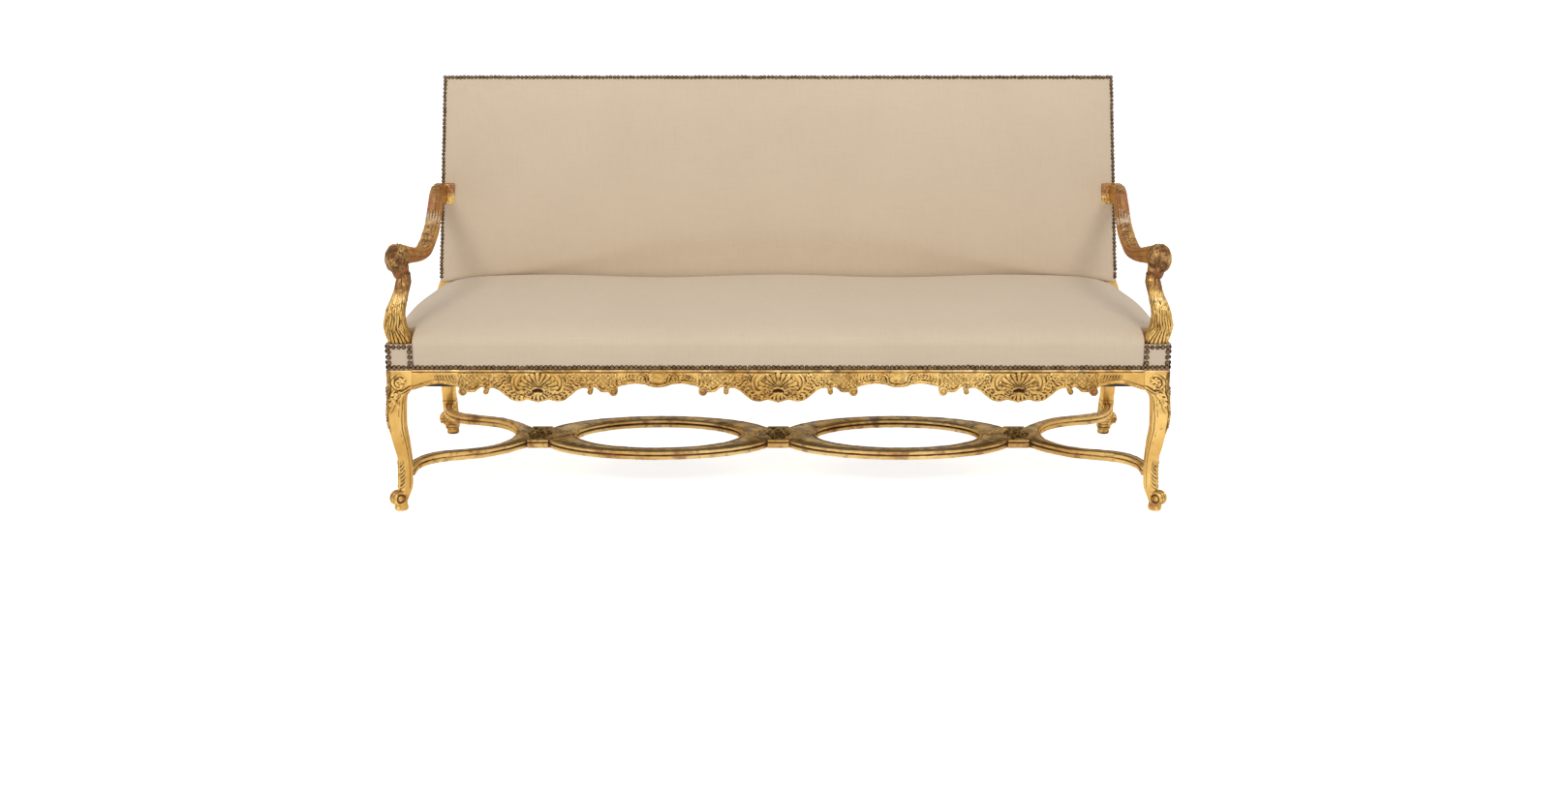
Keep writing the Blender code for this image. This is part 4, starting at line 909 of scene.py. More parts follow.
def corner_cloths():
    """The squares of cloth nailed over the tops of the front legs."""
    depth = 0.0042
    run = CORNER - depth - SEAM
    bend = 0.0035
    for side_name, side in SIDES:
        rows = []
        for z in np.linspace(RAIL_LINE + SEAM, BLOCK_TOP, 14):
            row = []
            slack = 0.0005 * math.sin(math.pi * (z - RAIL_LINE) / (BLOCK_TOP - RAIL_LINE))
            for a in np.linspace(-1, 1, 41):
                turn = math.exp(-abs(a) * run / bend) * bend * 0.3
                along = abs(a) * run + turn + depth
                off = depth + turn - slack * math.sin(math.pi * abs(a))
                x, y = (along, off) if a < 0 else (off, along)
                row.append((side * (HALF_WIDTH - x), y + DEPTH_SHIFT, z))
            rows.append(row)
        look = (CLOTH, LINEN, "linen_cover", f"{side_name}_corner_cloth")
        made = thin_cloth(f"{side_name}_corner_square", rows, *look)


# Nails

HEAD_RINGS = ((1.0, 0.0), (1.0, 0.22), (0.86, 0.34), (0.80, 0.50), (0.62, 0.80), (0.34, 0.96))
# Shares of painted dark reflection at each ring of a nail head, outer ring first
HEAD_RIM = (1, 1, 0.95, 0.7, 0.2, 0)
HEAD_SIDES = 10
NAIL_TILT = 0.06
NAIL_SPREAD = 0.03
NAIL_SHIFT = 0.00035


def dome(radius, height):
    """Points and faces of one nail head, with its middle at the origin and its top along z."""
    points = [
        (radius * reach * math.cos(angle), radius * reach * math.sin(angle), height * rise)
        for reach, rise in HEAD_RINGS
        for angle in circle(HEAD_SIDES)
    ]
    points.append((0, 0, height))
    faces = [tuple(reversed(range(HEAD_SIDES)))] + tube_faces(len(HEAD_RINGS), HEAD_SIDES)
    last = len(points) - 1
    return np.array(points), faces + cap_faces(last, last - HEAD_SIDES, HEAD_SIDES)


def nail_row(start, end, out):
    """Places of close nails from start to end, with the way each one faces."""
    start = np.array(start, float)
    end = np.array(end, float)
    count = max(int(round(np.linalg.norm(end - start) / NAIL_PITCH)), 1)
    return [(start + (end - start) * k / count, out) for k in range(count + 1)]


def make_nails(name, places, seed, radius=NAIL_RADIUS):
    """One piece with a nail head at each place, each driven a little differently."""
    draw = np.random.default_rng(seed)
    head, head_faces = dome(radius, radius * NAIL_HEIGHT_SHARE)
    parts = []
    for place, out in places:
        tilt = Vector(draw.normal(0, NAIL_TILT, 3))
        turn = (Vector(out).normalized() + tilt).normalized().to_track_quat("Z", "Y").to_matrix()
        size = 1 + draw.normal(0, NAIL_SPREAD)
        shift = draw.normal(0, NAIL_SHIFT, 3)
        parts.append(((head * size) @ np.array(turn).T + np.array(place) + shift, head_faces))
    made = joined_mesh(name, parts)
    # Painted dark reflection round each head's rim
    rim = np.append(np.repeat(HEAD_RIM, HEAD_SIDES), 0)
    set_share(made, "rim", np.tile(rim, len(places)))
    finish_piece(made, BRASS)


def seat_nails():
    """Nails along the seat's lower edge, and round both faces of each corner square."""
    face = DEPTH_SHIFT + CLOTH_STEP / 2
    low = COVER_END + NAIL_RADIUS - 0.0006
    top = BLOCK_TOP - NAIL_RADIUS - 0.0004
    reach = HALF_WIDTH - 0.010
    make_nails("nails_front", nail_row((-reach, face, low), (reach, face, low), (0, -1, 0)), 1)

    def border(place, a, b, out):
        """Nails over the top of one face of a corner square and down both its sides."""
        row = nail_row(place(a, top), place(b, top), out)
        for c in (a, b):
            row += nail_row(place(c, low + NAIL_PITCH), place(c, top - NAIL_PITCH), out)
        return row

    near = face + NAIL_RADIUS
    behind = DEPTH_SHIFT + CORNER - NAIL_RADIUS
    flank = HALF_WIDTH - CLOTH_STEP / 2
    count = int((POST_FRONT - near + DEPTH_SHIFT) / NAIL_PITCH)
    for number, (side_name, side) in enumerate(SIDES):

        def on_front(across, z):
            return (side * across, face, z)

        def on_flank(y, z):
            return (side * flank, y, z)

        corner = border(on_front, flank - NAIL_RADIUS, SEAT_NOTCH + NAIL_RADIUS, (0, -1, 0))
        make_nails(f"nails_{side_name}_corner", corner, 10 + number)
        ys = [near + k * NAIL_PITCH for k in range(count + 1)]
        row = [((side * (side_face(y - DEPTH_SHIFT) - CLOTH_STEP / 2), y, low), (side, 0, 0)) for y in ys]
        make_nails(f"nails_{side_name}_side", row + border(on_flank, near, behind, (side, 0, 0)), 20 + number)


def back_nails():
    """Nails round the front edge of the back, and round the cloth behind it."""
    inset = BACK_NAIL_RADIUS * 0.7
    top = BACK_LENGTH - inset
    for name, way, levels in (("front", -1, (top,)), ("rear", 1, (top, inset))):
        spots = []
        count = int(round((top - inset) / BACK_NAIL_PITCH))
        for side in (-1, 1):
            ups = [inset + (top - inset) * k / count for k in range(count)]
            spots += [(side * (back_half(up) - inset), up) for up in ups]
        for up in levels:
            reach = back_half(up) - inset
            count = int(round(2 * reach / BACK_NAIL_PITCH))
            skip = 0 if up == top else 1
            spots += [(-reach + 2 * reach * k / count, up) for k in range(skip, count + 1 - skip)]
        places = []
        for x, up in spots:
            lift = back_lift((x / back_half(up) + 1) / 2, back_share(up))
            depth = BACK_FRAME_DEPTH + SEAM if way > 0 else -lift
            out = (0, way * math.cos(BACK_RAKE), -way * math.sin(BACK_RAKE))
            places.append((on_back(x, up, depth + way * NAIL_STAND), out))
        make_nails(f"nails_back_{name}", places, 30 + (way > 0), BACK_NAIL_RADIUS)


# Carving

PX = 0.002506
PZ = 0.00255
MM = 0.001
CARVE_PITCH = 0.0006
RAIL_ROWS = 54
RAIL_PITCH = 0.00155
SHELL_HUB = 18.5

APRON = ((0, 1), (0.087, 0.86), (0.144, 0.94), (0.208, 0.9), (0.247, 0.745), (0.285, 0.55), (0.324, 0.35),
         (0.365, 0.235), (0.413, 0.25), (0.434, 0.40), (0.452, 0.22), (0.470, 0.18), (0.497, 0.28),
         (0.525, 0.43), (0.558, 0.46), (0.583, 0.45), (0.605, 0.50), (0.645, 0.40), (0.663, 0.18),
         (0.724, 0.08), (0.804, 0), (0.881, 0.04), (0.952, 0.157))
APRON_MIDDLE = (1.0, 0.196)
APRON_LEG = (1.04, 0.33)
VOLUTES = ((0.434, 0.412, 0.145), (0.627, 0.402, 0.222))
VOLUTE_SIDES = 30
VOLUTE_RINGS = 12
VOLUTE_REACH = 3.4 * MM
CORE_LOOPS = 96
LIP_RUN = 0.03
UNDER_DEPTHS = (0.006, 0.014)
CARVED_HOLLOW = 0.0011
MOULDED_HOLLOW = 0.0007

# Tables of carving give points, widths and heights, and for a ridge the depth of its vein.
# On the rail, points count in PX across from the middle of a shell and in PZ down from RAIL_LINE.
MOUTH = (
    (((0, 17.4), (4, 18.1), (6.6, 20.6), (6.8, 23)), (0.9,), (5,), 0),
    (((0, 22.5), (0, 27), (0, 31.6)), (1.5, 2.0, 1.2), (4, 4.6, 2.6), 0.3),
    (((1.6, 23), (3.8, 27), (4.4, 30.6)), (1.0, 1.5, 1.0), (3.4, 4, 2.2), 0),
    (((3, 23.4), (6.8, 26.2), (8.4, 28.6)), (0.9, 1.3, 0.8), (3, 3.4, 2), 0),
    (((15, 24), (20, 23.4), (24.6, 19.8), (26.6, 13), (25.2, 7), (21.6, 3.8)),
     (0.9, 1.7, 1.6, 0.8), (2.8, 3.3, 3.0, 1.8), 0),
    (((62, 20.4), (68, 21.4), (73, 21.6)), (1.2, 1.5, 1.0), (2.8,), 0),
)
BAY_RIDGES = (
    (((88, 13), (95, 11.4), (102, 11), (108.5, 12.2), (113.5, 15), (119, 17.8), (126, 18.8)),
     (0.9, 1.1, 1.2), (2.4, 3), 0),
    (((106, 4), (110, 4.4), (112.6, 7.4), (113.4, 11), (117, 14.4), (124.1, 15.6), (130, 15)),
     (1.0, 1.2), (3.6, 4.2), 0),
)

# Leaves give their spine, width, height and number of lobes
SHELL_LEAVES = (
    (((46, 16), (37, 18.4), (29, 24), (21, 28.4), (12, 28.8)), 9.5, 3.4, 7),
    (((30, 3.5), (33, 9), (31.5, 15), (28, 20)), 8.5, 2.9, 5),
    (((55, 12), (50, 11.4), (45.4, 13), (41, 17.4)), 6.6, 3.4, 4),
    (((44, 9), (39, 8), (35.5, 4)), 6, 2.2, 3),
    (((70, 19), (74.6, 15.5), (80.5, 13), (86.5, 12)), 6, 3.2, 4),
)
BAY_LEAVES = (
    (((82, 12.6), (88, 9.4), (95, 6.4), (103, 5)), 6.4, 2.8, 6),
    (((99, 8.6), (104, 8.2), (109, 10.4), (112, 13.4)), 4.6, 2.8, 4),
)


class Carving:
    """Heights carved on a flat patch: broad domes, ridges drawn over them, and cuts.

    Widths count in the patch's unit and heights in millimetres."""

    def __init__(self, left, low, right, high, unit=MM):
        self.left = left
        self.low = low
        self.unit = unit
        shape = (int((high - low) / CARVE_PITCH) + 3, int((right - left) / CARVE_PITCH) + 3)
        self.domes, self.ridges, self.cuts = np.zeros((3, *shape))

    def window(self, x0, x1, z0, z1):
        """The cells of a box on the patch, with their places across and up."""
        rows, columns = self.domes.shape
        spans = []
        for low, high, start, count in ((z0, z1, self.low, rows), (x0, x1, self.left, columns)):
            first = min(max(int((low - start) / CARVE_PITCH), 0), count)
            last = min(max(int((high - start) / CARVE_PITCH) + 2, 0), count)
            spans.append((slice(first, last), start + np.arange(first, last) * CARVE_PITCH))
        (up_cells, up), (cells, across) = spans
        return (up_cells, cells), across[None, :], up[:, None]

    def line(self, layer, points, widths, heights, vein=0.0):
        at = np.linspace(0, 1, len(points))
        width = np.interp(at, np.linspace(0, 1, len(widths)), widths) * self.unit
        height = np.interp(at, np.linspace(0, 1, len(heights)), heights) * MM
        rows = spline(np.column_stack([np.array(points), width, height]), 5)
        for first, second in zip(rows, rows[1:]):
            reach = max(first[2], second[2], CARVE_PITCH)
            low = np.minimum(first[:2], second[:2]) - reach
            high = np.maximum(first[:2], second[:2]) + reach
            place, across, up = self.window(low[0], high[0], low[1], high[1])
            if 0 in layer[place].shape:
                continue
            run = second[:2] - first[:2]
            length = max(run @ run, 1e-14)
            share = held(((across - first[0]) * run[0] + (up - first[1]) * run[1]) / length)
            away = np.hypot(across - first[0] - run[0] * share, up - first[1] - run[1] * share)
            away /= np.maximum(first[2] + (second[2] - first[2]) * share, 1e-6)
            tall = first[3] + (second[3] - first[3]) * share
            rise = tall * np.sqrt(np.maximum(1 - away**2, 0)) * (1 - vein * bell(away, 0, 0.3))
            layer[place] = np.maximum(layer[place], rise)

    def ridge(self, points, widths, heights, vein=0.0):
        """A tapering ridge, with a sunk vein down its middle where vein is above 0."""
        self.line(self.ridges, points, widths, heights, vein)

    def cut(self, points, widths, depths):
        self.line(self.cuts, points, widths, depths)

    def dome(self, centre, across, up, height, power=0.5, square=2):
        """A swelling with its two half widths in metres."""
        place, x, z = self.window(centre[0] - across, centre[0] + across, centre[1] - up, centre[1] + up)
        inside = 1 - np.abs((x - centre[0]) / across) ** square - np.abs((z - centre[1]) / up) ** square
        self.domes[place] += height * MM * np.maximum(inside, 0) ** power

    def spiral(self, centre, radius, turns, start, hand, width, height):
        """A scroll wound from its outside in to a raised eye."""
        points = []
        for k in range(int(turns * 9) + 1):
            t = k / (turns * 9)
            reach = radius * self.unit * (1 - 0.78 * t)
            angle = start + hand * 2 * math.pi * turns * t
            points.append((centre[0] + reach * math.cos(angle), centre[1] + reach * math.sin(angle)))
        self.ridge(points, (width, width * 0.7), (height, height * 0.9))
        self.ridge([centre, (centre[0] + width * self.unit * 0.1, centre[1])], (width,), (height * 1.15,))

    def leaf(self, points, width, height, lobes):
        """An acanthus leaf: a spine with pairs of lobes that lean towards its tip."""
        line = spline(points, 8)
        steps = np.linalg.norm(np.diff(line, axis=0), axis=1)
        along = np.concatenate([[0], np.cumsum(steps)])
        total = along[-1]
        lobe = 0.46 * total / lobes / self.unit

        def place_at(reach):
            return np.array([np.interp(reach, along, line[:, axis]) for axis in (0, 1)])

        for k in range(lobes):
            t = 0.92 * (k + 0.45) / lobes
            here, ahead = (place_at((t + step) * total) for step in (0, 0.05))
            forward = (ahead - here) / max(np.linalg.norm(ahead - here), 1e-9)
            grown = 0.5 * width * self.unit * math.sin(math.pi * (0.28 + 0.66 * t))
            for side in (-1, 1):
                out = np.array([-forward[1], forward[0]]) * side
                bend = here + out * grown * 0.62 + forward * grown * 0.30
                tip = here + out * grown + forward * grown * 1.05
                heights = (height * 0.55, height, height * 0.45)
                self.ridge([here, bend, tip], (lobe * 0.35, lobe * 0.62, lobe * 0.25), heights, 0.3)
        self.ridge(points, (lobe * 0.5, lobe * 0.2), (height * 1.15, height * 0.6))

    def finished(self):
        self.heights = self.domes + self.ridges - self.cuts
        return self

    def at(self, across, up):
        """Heights at places, between the patch's own points."""
        rows, columns = self.heights.shape
        x = np.clip((across - self.left) / CARVE_PITCH, 0, columns - 1.001)
        z = np.clip((up - self.low) / CARVE_PITCH, 0, rows - 1.001)
        i, j = z.astype(int), x.astype(int)
        z, x = z - i, x - j
        h = self.heights
        near = h[i, j] * (1 - x) + h[i, j + 1] * x
        return near * (1 - z) + (h[i + 1, j] * (1 - x) + h[i + 1, j + 1] * x) * z


def tool_marks(points, wavelength, seed, waves=26):
    """Uneven depth of carving at places: many waves in all directions, about -1 to 1."""
    draw = np.random.default_rng(seed)
    total = np.zeros(len(points))
    for _ in range(waves):
        way = draw.normal(size=3)
        way /= np.linalg.norm(way)
        length = wavelength * draw.uniform(0.6, 1.7)
        total += np.sin(points @ way * (2 * math.pi / length) + draw.uniform(0, 2 * math.pi))
    return total / math.sqrt(waves / 2) / 1.6


# The carved rails


def apron_line(outer):
    """Shares of a half bay and of the shell's drop along the shaped lower edge."""
    rows = spline(list(APRON) + [APRON_LEG if outer else APRON_MIDDLE], 4)
    return rows[:, 0], rows[:, 1]


def rail_carving(outer):
    """Carving of half a bay, from the middle of a shell to the next bay's middle or to the leg."""
    carving = Carving(-0.004, RAIL_LINE - 40 * PZ, 0.34, RAIL_LINE + 0.002, PX)
    upright = PZ / PX

    def p(*pairs):
        return [(u * PX, RAIL_LINE - v * PZ) for u, v in pairs]

    shares, drops = apron_line(outer)
    bay = SHELL_PITCH / 2
    edge = [(s * bay, APRON_LINE - d * SHELL_DROP + 1.5 * PZ) for s, d in zip(shares, drops) if s > 0.26]
    edge = edge[::3] + edge[-1:]
    carving.ridge(edge, (1.5,), (2.6,))
    carving.cut([(x, z + 2.6 * PZ) for x, z in edge], (0.8,), (1.3,))
    carving.ridge(p((-2, 0.6), (134, 0.6)), (0.95 * upright,), (1.3,))
    carving.cut(p((-2, 2.1), (134, 2.1)), (0.6 * upright,), (1.6,))

    # The shell: flat ribs round a fan of seeds, over a dark mouth
    def rays(count, first, step, reach_x, reach_z, reaches):
        """Lines that fan out from the shell's hub, at angles from upright in degrees."""
        for k in range(count):
            angle = math.radians(first + step * k)
            far = (math.sin(angle) * reach_x, math.cos(angle) * reach_z)
            yield p(*((far[0] * r, SHELL_HUB - far[1] * r) for r in reaches))

    carving.dome(p((0, 15))[0], 20.5 * PX, 15 * PZ, 3.2)
    for rib in rays(7, 0, 17.5, 19.5, 15.6, (0.3, 0.62, 0.88, 0.99)):
        carving.ridge(rib, (0.7, 1.6, 2.7, 2.2), (1.6, 2.6, 3.6, 2.6), 0.55)
    for groove in rays(7, 8.75, 17.5, 19.5, 15.6, (0.35, 0.7, 1.02)):
        carving.cut(groove, (0.4, 0.6), (0.9, 1.5))
    for seed in rays(5, 11, 22, 9, 7.5, (0.3, 1)):
        carving.ridge(seed, (0.5, 0.9), (2.2, 3.4))
    carving.cut(p((0, 20.6), (4.2, 20.8)), (2.0 * upright, 1.5 * upright), (6.5, 5))
    carving.spiral(p((10, 22.2))[0], 3.4, 1.2, 2.4, -1, 1.0, 4.4)
    carving.spiral(p((53.6, 17.8))[0], 2.6, 1.1, 0.5, 1, 0.8, 2.6)

    # Crossed lines on the ground between the scrolls
    place, x, z = carving.window(46 * PX, 80 * PX, RAIL_LINE - 16 * PZ, RAIL_LINE - 2.8 * PZ)
    slants = [np.abs(np.sin((x / PX + lean * z / PZ) * math.pi / 5.2)) for lean in (1, -1)]
    carving.ridges[place] = np.maximum(carving.ridges[place], 2.3 * MM * np.minimum(*slants) ** 0.6)

    for k in range(3):
        u = 74.6 + 2.9 * k
        carving.ridge(p((u, 3.6), (u, 7.2)), (1.05, 0.8), (2.6, 1.8))
    if outer:
        for k in range(7):
            u = 85 + 3.0 * k
            carving.ridge(p((u, 9.4), (u + 1.6, 7), (u + 2.4, 4.4)), (0.6, 1.1, 0.4), (2.2,), 0.3)
    else:
        carving.dome(p((124.1, 8.6))[0], 12.2 * PX, 7.6 * PZ, 3.0, 0.35, 3)
    for points, widths, heights, vein in MOUTH if outer else MOUTH + BAY_RIDGES:
        carving.ridge(p(*points), widths, heights, vein)
    for points, width, height, lobes in SHELL_LEAVES if outer else SHELL_LEAVES + BAY_LEAVES:
        carving.leaf(p(*points), width, height, lobes)
    return carving.finished()


def volute_disc(middle, radius, hand, place, reach):
    """A curled end under the rail: a short barrel with a scroll carved on its front."""
    points = [place(middle[0], -reach - 1.3 * MM, middle[1])]

    def ring_at(share, rise_at):
        for angle in circle(VOLUTE_SIDES):
            a = middle[0] + radius * share * math.cos(angle)
            z = middle[1] + radius * share * math.sin(angle)
            points.append(place(a, -rise_at(angle), z))

    for ring in range(1, VOLUTE_RINGS + 1):
        share = ring / VOLUTE_RINGS

        def scroll(angle):
            if share < 0.26:
                return reach + 1.2 * MM
            wave = 0.5 + 0.5 * math.cos(2 * math.pi * share * 2.3 - hand * angle)
            return reach + (1.9 * wave * min(1, share * 3) - 0.8) * MM * (1 if share < 0.95 else -1.5)

        ring_at(share, scroll)
    ring_at(1.02, lambda angle: -3 * MM)
    ring_at(0.96, lambda angle: 1 * MM - APRON_THICKNESS)
    faces = cap_faces(0, 1, VOLUTE_SIDES) + tube_faces(VOLUTE_RINGS + 2, VOLUTE_SIDES, 1)
    faces.append(tuple(range(len(points) - VOLUTE_SIDES, len(points))))
    return points, faces


def rail_grime_and_shade(up, across, bottom, carved, marks, broad):
    """Where the rail is darkened, part grime and part painted shade: in its carving, the shells' hearts, its
    top line and its lower edge.
    """
    darkening = carved * held(0.20 - 0.45 * marks + 0.25 * broad, 0.85)
    heart = np.exp(-((across / (11 * PX)) ** 2) - (((up - RAIL_LINE + 15 * PZ) / (7 * PZ)) ** 2))
    top_line = (up > RAIL_LINE - 2.4 * PZ) * held(0.42 + 0.25 * broad, 0.8)
    low_edge = bell(up, bottom, 2.4 * PZ) * held(0.30 + 0.3 * broad, 0.7)
    return most(darkening, heart * held(0.65 - 0.4 * marks), top_line, low_edge)


def rail_core(name, start, end, place):
    """The rail behind the carving, with its lip let up between the legs; its near-black wood is painted
    shade, and the lip stands under the outer arches where shade falls.
    """
    back = APRON_THICKNESS + SEAM
    section = ((CLOTH_STEP, RAIL_TOP), (CLOTH_STEP, RAIL_LINE - 0.002))
    section += ((0.02, RAIL_UNDERSIDE), (back, RAIL_UNDERSIDE), (back, RAIL_LIP))
    section += ((RAIL_THICKNESS, RAIL_LIP), (RAIL_THICKNESS, RAIL_TOP))
    loops = []
    for a in np.linspace(start + SEAM + APRON_LAP, end - SEAM - APRON_LAP, CORE_LOOPS):
        lift = (RAIL_UNDERSIDE - 0.001 - RAIL_LIP) * ramp(abs(a), LIP_START, -LIP_RUN)
        loops.append([place(a, d, z + lift if z == RAIL_LIP else z) for d, z in section])
    finish_piece(face_mesh(name, *swept(loops), False), BEECH_DARKENED_AS_SHADE, "beech")


def carved_rail(name, node, shells, half_bay, start, end, place):
    """The carved apron: its face, its moulded lower edge, and the scrolls that hang from it."""
    inner = rail_carving(False)
    outer = rail_carving(True)
    bay = SHELL_PITCH / 2
    columns = int((end - start) / RAIL_PITCH) + 1
    along = np.linspace(start, end, columns)
    away = np.abs(along[:, None] - np.array(shells)[None, :]).min(1) * bay / half_bay
    beyond = (along < min(shells)) | (along > max(shells))
    drops = [np.interp(away / bay, *apron_line(leg)) for leg in (True, False)]
    bottom = (APRON_LINE - np.where(beyond, *drops) * SHELL_DROP)[:, None]
    up = APRON_TOP + (bottom - APRON_TOP) * np.linspace(0, 1, RAIL_ROWS)[None, :]
    across = np.repeat(away[:, None], RAIL_ROWS, 1)
    height = np.where(beyond[:, None], outer.at(across, up), inner.at(across, up))
    carved = ramp(np.abs(height), 0.9 * MM, 0.8 * MM) * (up < RAIL_LINE - 2.5 * PZ)
    spots = np.column_stack([np.repeat(along, RAIL_ROWS), np.zeros(up.size), up.ravel()])
    marks = tool_marks(spots, 0.0085, 61).reshape(up.shape)
    broad = tool_marks(spots, 0.022, 62).reshape(up.shape)
    height = height + carved * 0.45 * MM * marks
    for k, phase in enumerate(np.random.default_rng(len(name)).uniform(0, 2 * math.pi, 6)):
        height += 0.12 * MM * np.sin(along[:, None] * (60 + 47 * k) + up * (90 - 31 * k) + phase)
    depth = -height + 1.6 * MM * np.exp(-(up - bottom) / (1.5 * MM))
    loops = []
    for i, a in enumerate(along):
        face = [place(a, depth[i, r], up[i, r]) for r in range(RAIL_ROWS)]
        under = [place(a, d, bottom[i, 0]) for d in (*UNDER_DEPTHS, APRON_THICKNESS)]
        loops.append(face + under + [place(a, APRON_THICKNESS, APRON_TOP)])
    parts = [swept(loops)]
    for shell in shells:
        for side in (-1, 1):
            for s, d, r in VOLUTES:
                middle = (shell + side * s * half_bay, APRON_LINE - d * SHELL_DROP)
                parts.append(volute_disc(middle, r * SHELL_DROP, side, place, VOLUTE_REACH))
    made = joined_mesh(name, parts)
    mark_hollows(made, 7, CARVED_HOLLOW)
    points = positions(made)
    size = len(loops[0])
    on_volute = np.arange(len(points)) >= columns * size
    # The scrolls and the face's dark marks: grime, and painted shade
    grime = on_volute * 0.25
    darkening = rail_grime_and_shade(up, across, bottom, carved, marks, broad)
    grime[: columns * size].reshape(columns, size)[:, :RAIL_ROWS] = darkening
    high = held((points[:, 2] - RAIL_LINE + 1.7 * PZ) / PZ)
    patchy = 0.5 + 0.5 * np.sin(points[:, 0] * 23) * np.sin(points[:, 0] * 61 + 1)
    set_share(made, "bole", on_volute * 0.3)
    set_share(made, "grime", grime)
    set_share(made, "gesso", high * (0.05 + 0.80 * patchy * ramp(np.abs(points[:, 0]), 0.35, 1)))
    finish_piece(made, GILT_CARVED, "gilt_wood", (node,))
    rail_core(f"{name}_core", start, end, place)


def make_rails():
    """The carved rails in front and at both sides."""
    reach = HALF_WIDTH - CORNER - SEAM + APRON_LAP

    def front(a, depth, z):
        return (a, depth + DEPTH_SHIFT, z)

    shells = (-SHELL_PITCH, 0, SHELL_PITCH)
    carved_rail("front_apron", "front_seat_rail", shells, SHELL_PITCH / 2, -reach, reach, front)
    start = CORNER + SEAM
    end = POST_FRONT - SEAM
    middle = (start + end) / 2
    for side_name, side in SIDES:

        def along_side(a, depth, z):
            return (side * (side_face(a) - depth), a + DEPTH_SHIFT, z)

        names = (f"{side_name}_apron", f"{side_name}_seat_rail")
        carved_rail(*names, (middle,), middle - start, start, end, along_side)


def carve_copy(name, node, voxel, relief, material, ease=3, form=None):
    """A node's own form made dense, eased, and then carved along its normals.

    relief(points, normals) gives the height at each point, shares to store with it, and for a piece
    whose form is also bent, how far each point shifts."""
    made = form or copy_of(name, node)
    run_modifier(made, "REMESH", mode="VOXEL", voxel_size=voxel)
    made.data.polygons.foreach_set("use_smooth", [True] * len(made.data.polygons))
    place_points(made, eased(positions(made), *neighbours(made), ease))
    points = positions(made)
    height, shares, *shift = relief(points, point_normals(made))
    place_points(made, points + point_normals(made) * height[:, None] + (shift[0] if shift else 0))
    mark_hollows(made, 6, CARVED_HOLLOW)
    for key, values in shares.items():
        set_share(made, key, values)
    finish_piece(made, material, "gilt_wood", (node,))


# Legs

# Rows of share up to the knee, and shares of the corner's width: bow outwards, and width
LEG = ((1.0, 0.0, 1.0), (0.94, 0.015, 1.01), (0.88, 0.036, 0.985), (0.848, 0.046, 0.845),
       (0.813, 0.058, 0.752), (0.717, 0.101, 0.768), (0.611, 0.0, 0.681), (0.507, -0.116, 0.638),
       (0.4, -0.254, 0.543), (0.307, -0.304, 0.507), (0.213, -0.283, 0.514), (0.147, -0.217, 0.522),
       (0.096, -0.159, 0.478), (0.048, -0.101, 0.44))
KNEE_TOP = 0.375
LEG_FACE = 0.050
LEG_FLOWER = (0.0285, 0.3565)
LEG_SCROLL = ((0.0325, 0.3700), (0.0230, 0.3695), (0.0145, 0.3610), (0.0125, 0.3490), (0.0165, 0.3395),
              (0.0240, 0.3350), (0.0290, 0.3385))
LEG_FILLET = ((0.0260, 0.3275), (0.0320, 0.3265), (0.0375, 0.3315), (0.0435, 0.3375), (0.0520, 0.3405))
LEG_RIM = ((0.0450, 0.325), (0.0445, 0.29), (0.0440, 0.24), (0.0440, 0.16), (0.0440, 0.08), (0.044, 0.05))
LEG_SPINE = ((0.0098, 0.345), (0.0092, 0.30), (0.0080, 0.25), (0.0070, 0.215))
KNEE_LEAF = ((0.0275, 0.3260), (0.0215, 0.3130), (0.0155, 0.3000), (0.0120, 0.2860))
KNEE_FRONDS = (
    (((0.0310, 0.3240), (0.0270, 0.3130), (0.0215, 0.3020)), (2.0, 2.6, 1.0), (3.4, 2.4), 0.3),
    (((0.0180, 0.3330), (0.0120, 0.3200), (0.0090, 0.3040)), (1.6, 2.4, 1.0), (3.2, 2.2), 0.3),
)
FOOT_EYE = (0.016, 0.034)
FOOT_REACH = 0.020
FOOT_TOP = 0.058
SLIM_HEIGHTS = (0.165, 0.19, 0.218, 0.262, 0.29, 0.32)
SLIM_DEPTHS = (0, 2.0, 3.4, 3.7, 1.5, 0)


def moved(points, x, z=0.0):
    """Points shifted by millimetres."""
    return [(a + x * MM, b + z * MM) for a, b in points]


